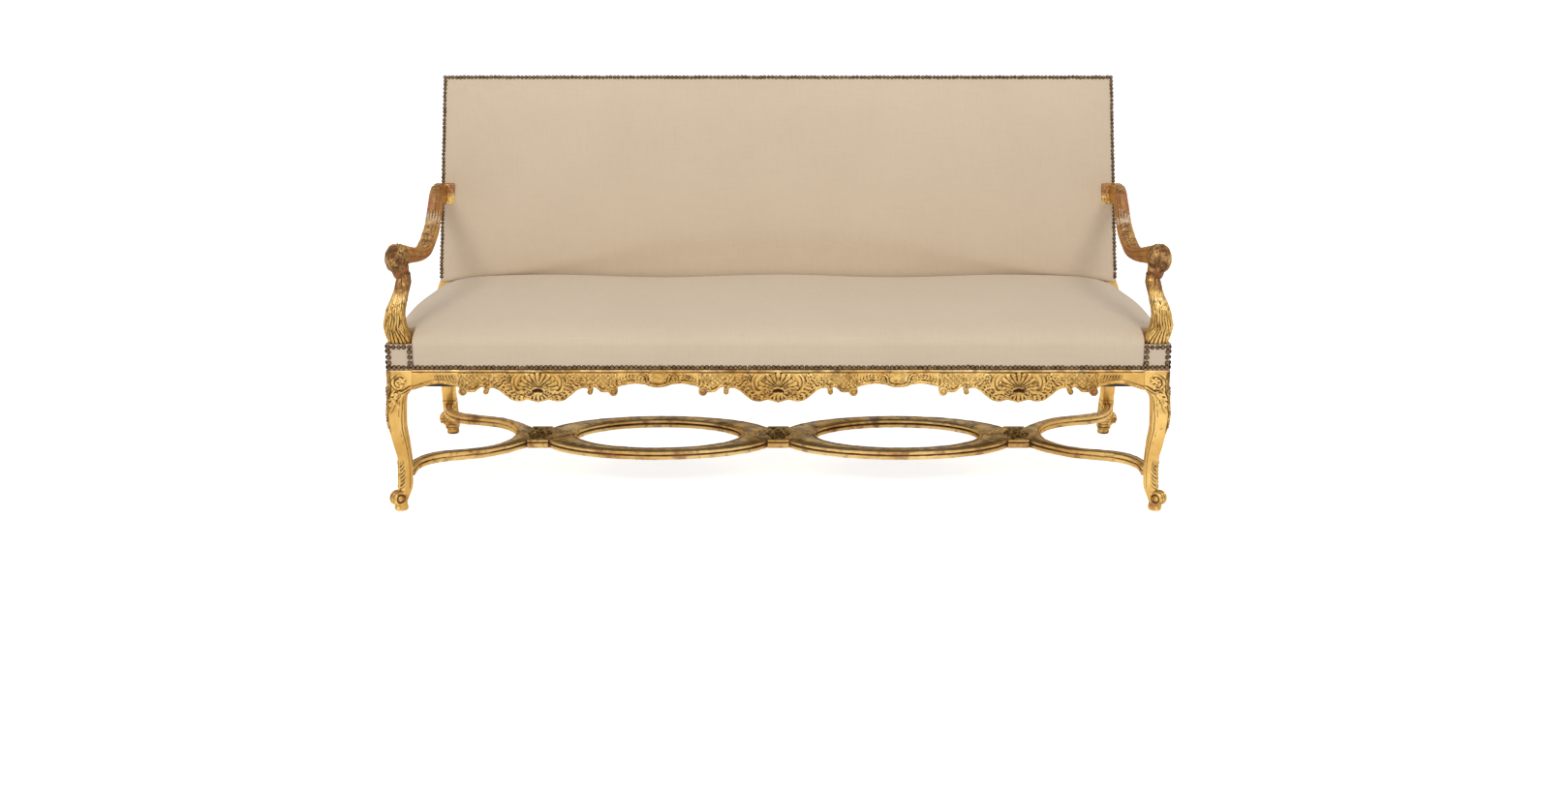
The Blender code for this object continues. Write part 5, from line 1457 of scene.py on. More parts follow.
def leg_carving():
    """Carving of one face of a front leg: across from the outer corner, and height."""
    carving = Carving(-0.004, 0.0, 0.062, 0.40)
    x, z = LEG_FLOWER
    for k in range(5):
        angle = 2 * math.pi * k / 5 + 0.4
        bend = (x + 0.0048 * math.cos(angle), z + 0.0048 * math.sin(angle))
        tip = (x + 0.0085 * math.cos(angle + 0.3), z + 0.0085 * math.sin(angle + 0.3))
        carving.ridge([LEG_FLOWER, bend, tip], (1.4, 3.0, 1.8), (2.4, 4.0, 2.2), 0.4)
    carving.ridge([LEG_FLOWER, (x + 0.1 * MM, z)], (2.2,), (5.0,))
    carving.ridge(LEG_SCROLL, (1.6, 2.6, 2.8, 2.6, 1.6), (2.0, 2.8, 3.0, 2.4))
    carving.cut(moved(LEG_SCROLL[1:5], 3.4), (1.0,), (1.0,))
    carving.cut(moved(LEG_SCROLL[1:6], -3.6, 0.6), (1.0,), (1.0,))
    carving.ridge(LEG_FILLET, (2.4, 2.2, 2.0), (5.0, 4.4, 3.2))
    carving.cut(moved(LEG_FILLET[1:], -1.5, 4.2), (1.1,), (1.2,))
    carving.leaf(KNEE_LEAF, 18, 3.6, 3)
    for frond in KNEE_FRONDS:
        carving.ridge(*frond)
    for k in range(5):
        down = 0.009 * k
        stroke = [(0.031 - 0.0025 * k, 0.323 - down), (0.0235 - 0.002 * k, 0.312 - down)]
        stroke.append((0.0150 - 0.001 * k, 0.306 - down))
        carving.ridge(stroke, (1.4, 2.6, 1.2), (2.2, 3.2, 1.2), 0.35)
    for k in range(13):
        z = 0.338 - 0.0088 * k
        carving.ridge([(0.0024, z), (0.0060 - 0.0002 * k, z - 0.0052)], (2.9, 1.6), (3.6, 2.0))
    carving.cut(LEG_SPINE, (1.2,), (2.0,))
    carving.cut(LEG_RIM, (1.2,), (2.0,))
    carving.ridge(moved(LEG_RIM, 3.6), (2.4,), (1.5,))
    for z, length in ((0.306, 0.016), (0.282, 0.022), (0.216, 0.012), (0.190, 0.010)):
        carving.cut([(0.036, z), (0.0355, z - length)], (0.8,), (1.3,))
    for k in range(7):
        z = 0.058 + 0.0105 * k
        vein = [(0.005, z), (0.015, z + 0.0055), (0.027 - 0.001 * k, z + 0.0155)]
        carving.ridge(vein, (1.6, 2.8, 1.2), (2.0, 3.4, 1.4), 0.3)
    return carving.finished()


def leg_relief(side):
    """Front leg: carved on both faces of its knee and shin, over a scrolled foot."""
    carving = leg_carving()
    table = spline(LEG, 4)[::-1]
    axis = np.array([side, 1, 0]) / math.sqrt(2)
    inset, eye_z = FOOT_EYE
    eye = np.array([side * (HALF_WIDTH - inset), DEPTH_SHIFT + inset, eye_z])

    def relief(points, normals):
        z = points[:, 2]
        bow, width = (np.interp(z / KNEE_TOP, table[:, 0], table[:, k]) * CORNER for k in (1, 2))
        front = held(-normals[:, 1]) ** 2
        flank = held(normals[:, 0] * side) ** 2
        across_front = (HALF_WIDTH + bow - points[:, 0] * side) / width * LEG_FACE
        across_side = (points[:, 1] - DEPTH_SHIFT + bow) / width * LEG_FACE
        nearest = np.where(front >= flank, across_front, across_side)
        marks = tool_marks(points * (1, 1, 0.55), 0.008, 41)
        knee = ramp(z, 0.283, 0.01) * ramp(nearest, 0.040, -0.004) * (nearest < 0.05)
        low = ramp(z, 0.130, -0.008) * ramp(nearest, 0.030, -0.004)
        edge = ramp(nearest, 0.0105, -0.003) * ramp(z, 0.215, 0.02)
        carved = most(knee, low, edge) * ramp(z, 0.373, -0.006) * (front + flank)
        height = front * carving.at(across_front, z) + flank * carving.at(across_side, z)
        height += carved * 0.25 * MM * marks - 2.0 * MM * bell(z, 0.315, 0.05, 4)
        height -= (front + flank) * np.interp(z, SLIM_HEIGHTS, SLIM_DEPTHS) * MM
        height *= ramp(z, 0.056, 0.006) * ramp(z, RAIL_LINE - 0.004, -0.004)
        height += 0.3 * MM * tool_marks(points, 0.028, 44)

        # The scroll of the foot, round an eye with its axis across the corner
        offset = points - eye
        along = offset @ axis
        reach = np.linalg.norm(offset - along[:, None] * axis, axis=1)
        facing = np.abs(normals @ axis)
        face = held(facing * 2.2 - 0.7) * (reach < FOOT_REACH) * (z < FOOT_TOP)
        ring = bell(reach, 0.0105, 0.0024)
        height += face * (2.0 * ramp(reach, 0.0065, -0.004) + bell(reach, 0.0158, 0.0026) - 1.6 * ring) * MM
        barrel = (facing < 0.5) & (reach < 0.024) & (z < 0.056) & (z > 0.016)
        height += barrel * 1.3 * MM * np.cos(2 * math.pi * along / 0.0095)

        calm = ramp(nearest, 0.036, -0.004) * ramp(z, 0.370, -0.006)
        # Grime in the carving and along the corner, and painted shade in the foot's ring groove and on its
        # barrel
        grime = most(
            carved * calm * held(-0.02 - 0.5 * marks, 0.7),
            face * ring * 0.35,
            edge * held(0.62 - 0.6 * marks, 0.9),
            barrel * 0.35,
        )
        bole = most(ramp(z, 0.060, -0.02) * 0.4, ramp(nearest, 0.012, -0.012) * ramp(z, 0.20, 0.02) * 0.8)
        # Painted highlights on the knee's top and on the carving
        fresh = ramp(z, 0.335, 0.01) * ramp(nearest, 0.026, 0.006) * 0.4
        fresh = most(fresh, carved * (1 - edge) * held(0.35 + 0.6 * marks, 0.8))
        gesso = ramp(z, RAIL_LINE - 0.004, 0.003) * 0.3
        shift = -4.2 * MM * ramp(z, 0.285, -0.06) * (1 - 0.6 * ramp(z, 0.085, -0.03))
        outward = np.column_stack([-shift * side, shift, np.zeros(len(z))])
        return height, {"gesso": gesso, "bole": bole, "grime": grime, "fresh": fresh}, outward

    return relief


def post_relief(points, normals):
    """Rear leg: a carved collar of leaves over a scrolled foot, on a plain post."""
    x, y, z = points.T
    fan = np.abs(np.sin((x + y + 0.4 * z) * math.pi / 0.0068))
    height = bell(z, 0.108, 0.0035) * 1.8 * MM * (held(-normals[:, 1]) + held(np.abs(normals[:, 0])))
    height += ((z < 0.104) & (z > 0.055)) * (1.9 * fan - 0.6) * MM
    height += ((z < 0.055) & (z > 0.022)) * 0.8 * MM * np.cos(2 * math.pi * z / 0.009)
    # Painted shade in the collar's grooves and at the foot's bottom by the floor, with grime in the carving
    line = bell(z, 0.1145, 0.0022) + bell(z, 0.0035, 0.0035) + bell(z, 0.022, 0.002)
    marks = tool_marks(points, 0.009, 51)
    grime = most(line, (z < 0.110) * held(0.15 - 0.6 * marks, 0.85))
    return height, {"bole": 0.1 + ramp(z, 0.07, -0.03) * 0.3, "grime": grime}


# Arms: rows of share forward, middle across and up, half width and height, and squareness

ARM = ((0, 0.967, 0.738, 0.0195, 0.0265, 5), (0.06, 0.967, 0.738, 0.0195, 0.0265, 5),
       (0.13, 0.966, 0.7375, 0.0195, 0.0258, 4.5), (0.19, 0.963, 0.735, 0.0195, 0.0245, 4),
       (0.28, 0.957, 0.7245, 0.0203, 0.0215, 3), (0.40, 0.951, 0.700, 0.0210, 0.0185, 2.7),
       (0.50, 0.9455, 0.685, 0.0212, 0.0172, 2.6), (0.60, 0.942, 0.675, 0.0212, 0.0172, 2.6),
       (0.70, 0.939, 0.667, 0.0212, 0.0172, 2.6), (0.78, 0.940, 0.660, 0.0210, 0.0175, 2.6),
       (0.85, 0.950, 0.659, 0.0208, 0.0190, 2.5), (0.91, 0.966, 0.666, 0.0215, 0.0230, 2.4),
       (0.96, 0.978, 0.671, 0.0225, 0.0280, 2.2), (1.0, 0.984, 0.669, 0.0225, 0.0270, 2.0))
ARM_ROWS = spline(ARM, 8)
ARM_SIDES = 36
ARM_PLATE = (0.951, 0.735, 0.0255, 0.0295)
PLATE_DEPTH = 0.020
ARM_REAR = back_plane(0.746) - SEAM
ARM_FRONT_X = 0.984
ARM_SCROLL_Y = 0.062
ARM_SCROLL_Z = 0.667
ARM_RUN = 0.590
KNOB = (0.0305, 0.0365, 0.0395)
TAIL_BALL = (0.0225, 0.026, 0.029)
TAIL_OFFSET = (0.008, 0.003, 0.028)
ARM_ACROSS = 0.020
KNOB_ROUND = 0.034
KNOB_UP = 0.038


def ball(centre, radii, rings, segments):
    """Points and faces of a closed ball with three radii."""
    x, y, z = centre
    points = [(x, y, z - radii[2])]
    for ring in range(1, rings):
        level = -math.pi / 2 + math.pi * ring / rings
        wide, deep = radii[0] * math.cos(level), radii[1] * math.cos(level)
        high = z + radii[2] * math.sin(level)
        points += [(x + wide * math.cos(a), y + deep * math.sin(a), high) for a in circle(segments)]
    points.append((x, y, z + radii[2]))
    faces = cap_faces(0, 1, segments) + tube_faces(rings - 1, segments, 1)
    return points, faces + cap_faces(len(points) - 1, len(points) - 1 - segments, segments)


def arm_form(name, side):
    """The arm: a squared block behind, a slender sweep outwards, and a ball at the end."""
    loops = []
    for forward, x, z, half_width, half_height, power in ARM_ROWS:
        y = ARM_REAR - forward * (ARM_REAR - ARM_SCROLL_Y) + DEPTH_SHIFT
        loop = []
        for angle in circle(ARM_SIDES):
            c, s = math.cos(angle), math.sin(angle)
            grow = (abs(c) ** power + abs(s) ** power) ** (-1 / power)
            loop.append((side * (x + half_width * grow * c), y, z + half_height * grow * s))
        loops.append(loop)
    x, z, half_width, half_height = ARM_PLATE
    corners = [(x + a * half_width, z + b * half_height) for a, b in ((-1, -1), (1, -1), (1, 1), (-1, 1))]
    ends = (ARM_REAR + DEPTH_SHIFT, ARM_REAR - PLATE_DEPTH + DEPTH_SHIFT)
    plate = [[(side * a, y, b) for a, b in corners] for y in ends]
    x, y, z = (side * ARM_FRONT_X, ARM_SCROLL_Y + DEPTH_SHIFT, ARM_SCROLL_Z)
    in_x, in_y, in_z = TAIL_OFFSET
    tail = ball((x - side * in_x, y - in_y, z - in_z), TAIL_BALL, 16, 32)
    return joined_mesh(name, [swept(loops), swept(plate), ball((x, y, z), KNOB, 24, 40), tail])


def arm_carving():
    """Carving of the top of an arm: along it from the back, and across it outwards, in metres."""
    carving = Carving(-0.01, -0.04, 0.66, 0.04)
    for lean in (-0.8, 0, 0.8):
        tip = (0.042 + 0.012 * abs(lean), 0.017 * lean)
        carving.ridge([(0.108, 0.0), (0.078, tip[1] * 0.8), tip], (3, 6, 3), (2.4, 4, 2), 0.5)
    carving.dome((0.111, 0.0), 0.009, 0.009, 3.6)
    carving.cut([(0.131, -0.03), (0.128, 0), (0.131, 0.03)], (2.4,), (3.0,))
    for side in (-1, 1):
        rail = [(0.14, 0.0185), (0.2, 0.0180), (0.33, 0.0180), (0.45, 0.0185), (0.54, 0.018)]
        rail = [(x, side * z) for x, z in rail]
        carving.ridge(rail, (2.8,), (2.4,))
        carving.cut(moved(rail, 0, -side * 4.4), (1.3,), (1.8,))
    for offset in (-0.006, 0.011):
        trough = [(0.140, offset), (0.18, offset * 1.1), (0.22, offset * 0.9)]
        carving.cut(trough, (2.4, 4.4, 1.4), (1.2, 2.2, 0.8))
    for offset in (-0.010, -0.003, 0.004, 0.011):
        frond = [(0.215, offset), (0.245, offset * 1.1), (0.275, offset * 0.8)]
        carving.ridge(frond, (1.2, 2.8, 1.0), (1.4, 2.8, 1.0), 0.3)
    draw = np.random.default_rng(9)
    for k in range(30):
        start = np.array([0.290 + 0.0062 * k, draw.uniform(-0.012, 0.014)])
        bend = start + (draw.uniform(0.004, 0.009), draw.uniform(-0.004, 0.004))
        tip = bend + (draw.uniform(0.003, 0.008), draw.uniform(-0.006, 0.006))
        carving.ridge([start, bend, tip], (1.6, 2.6, 1.2), (2.4, 3.8, 1.8), 0.35)
    for offset in (-0.0115, -0.0045, 0.0025, 0.0095):
        flow = [(0.41, offset), (0.46, offset + 0.002), (0.51, offset + 0.001), (0.57, offset * 1.2)]
        carving.cut(flow, (1.0, 1.7, 1.2), (0.8, 2.2, 1.4))
    return carving.finished()


def knob_carving():
    """Carving wrapped over the ball of an arm: round it and up it, as angles times its radius."""
    carving = Carving(-0.12, -0.062, 0.12, 0.062)
    draw = np.random.default_rng(5)
    for k in range(8):
        x = -0.105 + 0.030 * k
        lean = 0.006 * draw.normal()
        carving.leaf([(x, 0.045), (x + lean, 0.02), (x - lean, -0.008), (x + lean, -0.04)], 30, 4.2, 4)
        carving.ridge([(x + 0.015, 0.03), (x + 0.017, 0.0), (x + 0.013, -0.03)], (1.8, 3, 1.6), (2.6,), 0.4)
    carving.spiral((0.028, 0.028), 9, 1.3, 0, 1, 2.4, 3.6)
    carving.spiral((-0.030, 0.028), 9, 1.3, math.pi, -1, 2.4, 3.6)
    return carving.finished()


def arm_relief(side):
    """Arm: a flower behind, worn mouldings and leaves along it, and a leafy ball in front."""
    top = arm_carving()
    knob = knob_carving()
    centre = np.array([side * ARM_FRONT_X, ARM_SCROLL_Y + DEPTH_SHIFT, ARM_SCROLL_Z])

    def relief(points, normals):
        forward = (ARM_REAR - (points[:, 1] - DEPTH_SHIFT)) / (ARM_REAR - ARM_SCROLL_Y)
        x, z, half_width, half_height = (np.interp(forward, ARM_ROWS[:, 0], row) for row in ARM_ROWS.T[1:5])
        across = (points[:, 0] * side - x) / half_width
        above = (points[:, 2] - z) / half_height
        run = forward * ARM_RUN
        top_face = held(normals[:, 2] + 0.15)
        upward = most(held(normals[:, 2]) ** 1.5, held(-normals[:, 1]) ** 2 * (forward < 0.6))
        from_ball = (points - centre) / np.array(KNOB)
        reach = np.linalg.norm(from_ball, axis=1)
        on_ball = ramp(reach, 1.22, -0.16)
        marks = tool_marks(points, 0.010, 3)
        round_ball = np.arctan2(from_ball[:, 0] * side, -from_ball[:, 1]) * KNOB_ROUND
        level = np.arcsin(np.clip(from_ball[:, 2] / np.maximum(reach, 1e-6), -1, 1)) * KNOB_UP
        height = upward * top.at(run, across * ARM_ACROSS) * (1 - on_ball)
        height += on_ball * (knob.at(round_ball, level) * 0.55 - 1.0 * MM + 0.5 * MM * marks)
        leafy = ramp(run, 0.285, 0.02) * ramp(run, 0.48, -0.04) * held(normals[:, 2] + 0.1)
        height += leafy * 0.9 * MM * marks + 0.25 * MM * tool_marks(points, 0.022, 8)

        # Two grooves round the neck, behind the ball
        facing = held(most(-normals[:, 1], -normals[:, 0] * side) * 1.6 - 0.3)
        neck = ramp(forward, 0.60, 0.08) * (1 - on_ball) * facing
        climb = above - 1.1 * (forward - 0.78)
        lines = bell(climb, -0.35, 0.08) + bell(climb, 0.3, 0.08)
        height -= neck * lines * 1.1 * MM
        inner = held(-normals[:, 0] * side) ** 2 * (1 - neck) * (1 - on_ball)

        # Red and pale wear along the top
        lane = across + 0.12 * np.sin(run * 50)
        strips = bell(lane, 0.72, 0.26) + bell(lane, -0.35, 0.24)
        streaks = tool_marks(points * (1, 0.3, 1), 0.007, 27)
        red = bell(run, 0.188, 0.047, 4) * strips * (0.8 + 0.4 * streaks)
        red += 0.9 * bell(run, 0.292, 0.009) * bell(lane, -0.45, 0.3)
        ragged = 0.016 * streaks + 0.008 * tool_marks(points, 0.012, 12)
        pale = bell(run + ragged, 0.262, 0.030, 4) * top_face * held(0.85 + 0.3 * marks)
        bole = held(0.10 + 0.32 * (0.5 + 0.45 * tool_marks(points, 0.030, 21))) + red
        bole = np.maximum(bole * (1 - pale), 0) * (1 - 0.8 * inner)

        # Dark in the leaves, the flower, the neck's grooves and on the ball: grime, with painted shade in the
        # grooves and under the ball
        flower = ramp(run, 0.128, -0.006) * ramp(run, PLATE_DEPTH, 0.004) * top_face
        flower_marks = tool_marks(points, 0.006, 77)
        height += flower * 0.9 * MM * flower_marks
        under_ball = ramp(forward, 0.9, 0.03) * ramp(points[:, 2], ARM_SCROLL_Z - 0.022, -0.008)
        grime = most(
            leafy * held(0.46 - marks * 1.1) * held(1.25 - np.abs(across) * 1.1),
            on_ball * held(0.88 - 0.5 * marks),
            flower * held(0.52 - flower_marks * 1.3),
            bell(run, 0.130, 0.0030) * 0.8 * top_face,
            neck * lines * 0.4,
            under_ball * held(0.55 - 0.3 * marks),
        )
        bole = most(bole, neck * (0.12 + 0.3 * np.sin(climb * 9)), under_ball * 0.9)

        # The plate against the back: rubbed above, bright below with fresh leaf and a painted highlight, and
        # a painted shadow along its inner edge
        from_inner = points[:, 0] * side - (ARM_PLATE[0] - ARM_PLATE[2])
        plate = (run < PLATE_DEPTH + 0.002) & (from_inner < 0.0235)
        low = ramp(points[:, 2], ARM_PLATE[1] + 0.006, -0.014)
        plate_marks = tool_marks(points, 0.007, 35)
        height += plate * 0.5 * MM * plate_marks
        bole = np.where(plate, (1 - low) * held(0.45 + 0.5 * plate_marks), bole)
        darkened = most(bell(from_inner, 0, 0.0022) * 0.9, held(-0.25 - plate_marks, 0.8))
        grime = np.where(plate, darkened, grime) * (1 - 0.7 * inner)
        pale = np.where(plate, held(plate_marks - 0.35) * (1 - low), pale)
        fresh = plate * low * held(0.9 + 0.3 * plate_marks)
        return height, {"bole": bole, "gesso": pale * 0.95, "grime": grime, "fresh": fresh}

    return relief


SUPPORT_Z = (0.4538, 0.50, 0.535, 0.575, 0.6386)
SUPPORT_X = (0.982, 0.991, 0.988, 0.979, 0.982)
SUPPORT_Y = (0.030, 0.014, 0.015, 0.036, 0.057)


def support_relief(side):
    """Arm support: fluted at its foot, leafy over that, and plain at its neck."""
    carving = Carving(-0.04, 0.44, 0.04, 0.66)
    for k in range(-3, 4):
        x = k * 0.0092
        carving.ridge([(x * 1.15, 0.452), (x, 0.470), (x * 0.66, 0.492)], (3.9, 3.6, 1.8), (4.2, 3), 0.4)
        x = k * 0.0062
        vein = [(x * 1.2 + 0.002, 0.496), (x * 1.1 - 0.001, 0.522)]
        vein += [(x * 0.85 + 0.002, 0.552), (x * 0.6, 0.600)]
        carving.ridge(vein, (2.2, 2.9, 2.3, 1.2), (2.2, 3.0, 2.4, 1.0), 0.25)
    carving.dome((0.0, 0.500), 0.010, 0.012, 2.0)
    for hand in (-1, 1):
        x = 0.016 * hand
        rim = [(x * 1.3, 0.50), (x * 1.35, 0.54), (x, 0.58), (x * 0.85, 0.625)]
        carving.ridge(rim, (2.4,), (1.9,))
        carving.cut(moved(rim, -3.4 * hand), (1.2,), (1.3,))
    carving.finished()

    def relief(points, normals):
        z = points[:, 2]
        across = points[:, 0] * side - np.interp(z, SUPPORT_Z, SUPPORT_X)
        deep = points[:, 1] - DEPTH_SHIFT - np.interp(z, SUPPORT_Z, SUPPORT_Y)
        height = held(np.abs(normals[:, 1])) ** 2 * carving.at(across, z)
        height += held(np.abs(normals[:, 0])) ** 2 * carving.at(deep, z)
        marks = tool_marks(points * (1, 1, 0.35), 0.0075, 31)
        carved = ramp(z, 0.585, -0.02)
        height += carved * 0.5 * MM * marks
        height -= 2.4 * MM * ramp(z, 0.560, -0.03) + 4.5 * MM * ramp(z, 0.606, 0.016)
        brown = ramp(z + 0.004 * marks, 0.571, 0.022)
        red = bell(z, 0.505, 0.010) * held(across * side * -20 + 0.5) * 0.5
        grime = brown * held(0.66 - 0.3 * marks) + carved * held(-marks - 0.05) * 0.85
        gesso = bell(z, 0.568, 0.012) * 0.2
        return height, {"bole": most(brown, red) * 0.95 + 0.05, "gesso": gesso, "grime": grime}

    return relief


# The stretcher

STRETCHER_TOP = 0.107
STRETCHER_THICKNESS = 0.024
STRETCHER_MIDDLE = 0.352
STRETCHER_STEPS = 150
CROSSING_PITCH = HALF_WIDTH * 0.6558
BLOCK_HALF_WIDTH = 0.028
BLOCK_HALF_DEPTH = 0.0585
HOLE_HALF_LENGTH = CROSSING_PITCH * 0.3444
HOLE_HALF_WIDTH = 0.127
OVAL_HALF_WIDTH = 0.172
FORK_TIP = 0.069
FORK_LAP = 0.002
FORK_INSET = 0.038
FORK_STEPS = 12
NARROW = 0.030
FORK_OUTER = ((0.090, 0.196), (0.193, 0.319), (0.267, 0.389), (0.421, 0.503), (0.582, 0.560), (0.740, 0.617),
              (0.817, 0.661), (0.891, 0.728), (0.939, 0.826), (0.945, 0.930), (0.945, 1.000))
FORK_INNER = ((0.222, 0.000), (0.226, 0.095), (0.251, 0.188), (0.318, 0.309), (0.434, 0.409), (0.592, 0.470),
              (0.756, 0.510), (0.870, 0.570), (0.955, 0.668), (1.025, 0.840), (1.045, 1.000))

# Side of the stretcher, from its underside to its top: inset in mm, and share of the thickness
MOULDING = ((7.0, 0.0), (3.0, 0.02), (0.7, 0.10), (0.0, 0.20), (0.0, 0.36), (0.6, 0.44), (2.4, 0.475),
            (4.3, 0.49), (4.5, 0.56), (3.2, 0.60), (2.2, 0.66), (2.1, 0.80), (2.9, 0.91), (4.4, 0.975),
            (6.2, 1.0), (8.2, 0.995), (9.3, 0.97), (10.0, 0.90), (11.2, 0.89), (12.0, 0.95), (13.2, 0.985))


def moulded_rail(node, outer, inner):
    """A flat member between two rails, moulded along both its sides, with a worn dusty top."""
    base = STRETCHER_TOP - STRETCHER_THICKNESS
    loops = []
    for (ox, oy), (ix, iy) in zip(outer, inner):
        across = Vector((ix - ox, iy - oy))
        narrow = min(1, across.length / NARROW)
        across.normalize()
        loop = []
        for x, y, way, rows in ((ox, oy, 1, MOULDING), (ix, iy, -1, MOULDING[::-1])):
            for inset, rise in rows:
                step = across * (inset * MM * narrow * way)
                loop.append((x + step.x, y + step.y + DEPTH_SHIFT, base + rise * STRETCHER_THICKNESS))
        loops.append(loop)
    made = joined_mesh(f"{node}_moulded", [swept(loops)])
    points = positions(made)
    marks = tool_marks(points, 0.05, 4)
    fine = tool_marks(points, 0.012, 6)
    place_points(made, points + point_normals(made) * ((0.25 * marks + 0.22 * fine) * MM)[:, None])
    mark_hollows(made, 3, MOULDED_HOLLOW)
    high = ramp(points[:, 2], STRETCHER_TOP - 0.004, 0.003)
    # Painted shade on the sides next to the crossings, a dark joint along the middle, and grime on top
    near = np.minimum(np.abs(points[:, 0]), np.abs(np.abs(points[:, 0]) - CROSSING_PITCH))
    joint = bell(points[:, 1] - DEPTH_SHIFT, STRETCHER_MIDDLE, 0.0016) * high
    notch = ramp(near, 0.040, -0.008) * (1 - high)
    set_share(made, "bole", 0.25 + 0.25 * marks)
    set_share(made, "grime", most(notch, joint, high * held(0.15 + 0.35 * fine, 0.6)))
    finish_piece(made, GILT_STRETCHER, "gilt_wood", (node,))


def make_stretcher():
    """Four half ovals between the crossings, and four fork arms out to the legs."""
    reach = CROSSING_PITCH / 2 - BLOCK_HALF_WIDTH
    long_half = reach / math.sqrt(1 - (BLOCK_HALF_DEPTH / OVAL_HALF_WIDTH) ** 2)
    first = math.acos(reach / long_half)
    for side_name, side in SIDES:
        middle = side * CROSSING_PITCH / 2
        for end, side_y in (("front", -1), ("rear", 1)):
            outer = []
            inner = []
            for k in range(STRETCHER_STEPS + 1):
                angle = first + k / STRETCHER_STEPS * (math.pi - 2 * first)
                off = OVAL_HALF_WIDTH * math.sin(angle)
                outer.append((middle - long_half * math.cos(angle), STRETCHER_MIDDLE + side_y * off))
                angle = k / STRETCHER_STEPS * math.pi
                off = SEAM / 2 + HOLE_HALF_WIDTH * math.sin(angle)
                inner.append((middle - HOLE_HALF_LENGTH * math.cos(angle), STRETCHER_MIDDLE + side_y * off))
            moulded_rail(f"{side_name}_oval_{end}", outer, inner)

            node = f"{side_name}_fork_{end}"
            ys = [v.co.y for v in NODES[node].data.vertices]
            face = (min(ys) - FORK_LAP if side_y < 0 else max(ys) + FORK_LAP) - DEPTH_SHIFT
            end_x = HALF_WIDTH - FORK_INSET if side_y < 0 else REAR_HALF_WIDTH - POST_WIDTH / 2
            rails = []
            for shares in (FORK_OUTER, FORK_INNER):
                xs = [side * (CROSSING_PITCH + u * (end_x - CROSSING_PITCH)) for u, _ in shares]
                ys = [STRETCHER_MIDDLE + v * (face - STRETCHER_MIDDLE) for _, v in shares]
                rails.append(spline(np.column_stack([xs, ys]), FORK_STEPS))
            starts = ((BLOCK_HALF_WIDTH, BLOCK_HALF_DEPTH), (FORK_TIP, SEAM / 2))
            for rail, (off_x, off_y) in zip(rails, starts):
                rail[0] = (side * (CROSSING_PITCH + off_x), STRETCHER_MIDDLE + side_y * off_y)
            moulded_rail(node, *rails)


def crossing_relief(middle):
    """A carved boss with leaves running to the two openings."""
    carving = Carving(-0.12, -0.08, 0.12, 0.08)
    for side in (-1, 1):
        for lean in (-1, 0, 1):
            tip = (side * (0.034 - 0.008 * abs(lean)), lean * 0.026)
            carving.leaf([(side * 0.006, 0), (tip[0] * 0.5, tip[1] * 0.6), tip], 20, 3.0, 3)
    for lean in (-1, 1):
        carving.leaf([(0, lean * 0.008), (0, lean * 0.024), (0, lean * 0.044)], 24, 3.0, 4)
        carving.spiral((0.014, lean * 0.040), 6, 1.2, 0, lean, 1.6, 2.4)
        carving.spiral((-0.014, lean * 0.040), 6, 1.2, math.pi, -lean, 1.6, 2.4)
    carving.finished()

    def relief(points, normals):
        upward = held(normals[:, 2]) ** 3
        marks = tool_marks(points, 0.008, 17)
        carved = carving.at(points[:, 0] - middle, points[:, 1] - DEPTH_SHIFT - STRETCHER_MIDDLE)
        faced = np.abs(normals[:, 1]) > 0.7
        groove = bell(points[:, 2], 0.0985, 0.0016)
        height = upward * (carved + 0.5 * MM * marks) + faced * (2.6 - 2.4 * groove) * MM
        # Grime on top, and painted shade in the groove and on the faces towards the ovals
        grime = upward * held(0.30 - 0.55 * marks, 0.9) + faced * groove * 0.8
        grime = most(grime, held(np.abs(normals[:, 0]) * 1.3 - 0.3) * (normals[:, 2] < 0.6))
        return height, {"bole": np.full(len(points), 0.3), "grime": grime}

    return relief


LEG_VOXEL = 0.0015
ARM_VOXEL = 0.0016
SUPPORT_VOXEL = 0.0014
POST_VOXEL = 0.0022
CROSSING_VOXEL = 0.0013


def make_carved_woodwork():
    """Legs, arms, supports and posts on both sides, and the stretcher's three crossings."""
    for name, side in SIDES:
        leg, post, support = (f"front_{name}_leg", f"rear_{name}_post", f"{name}_arm_support")
        carve_copy(f"{name}_front_leg_carved", leg, LEG_VOXEL, leg_relief(side), GILT_CARVED)
        arm = arm_form(f"{name}_arm_carved", side)
        carve_copy(arm.name, f"{name}_arm", ARM_VOXEL, arm_relief(side), GILT_ARM, 4, arm)
        carve_copy(f"{name}_support_carved", support, SUPPORT_VOXEL, support_relief(side), GILT_CARVED)
        carve_copy(f"{name}_rear_post_carved", post, POST_VOXEL, post_relief, GILT)
    for name, middle in (("centre", 0), ("left", -CROSSING_PITCH), ("right", CROSSING_PITCH)):
        node = f"{name}_crossing"
        carve_copy(f"{node}_carved", node, CROSSING_VOXEL, crossing_relief(middle), GILT_STRETCHER, 1)


# Materials of the CAD nodes, by the first words that their names hold

NODE_LOOKS = (
    (("coil_spring",), STEEL),
    (("brace", "corner_block", "top_rail", "upright", "back_seat_rail"), BEECH),
    (("stretcher", "oval", "fork", "crossing"), GILT_STRETCHER),
    (("arm",), GILT_ARM),
    (("webbing", "hessian"), JUTE),
    (("bottom_cloth",), BLACK),
    (("cloth", "cover"), LINEN),
    (("stuffing",), HORSEHAIR),
)


def dress_nodes():
    """Gives each CAD node its material."""
    for name, node in NODES.items():
        fits = [look for words, look in NODE_LOOKS if any(word in name for word in words)]
        node.data.materials.clear()
        node.data.materials.append(fits[0] if fits else GILT)


# Stage, light and camera

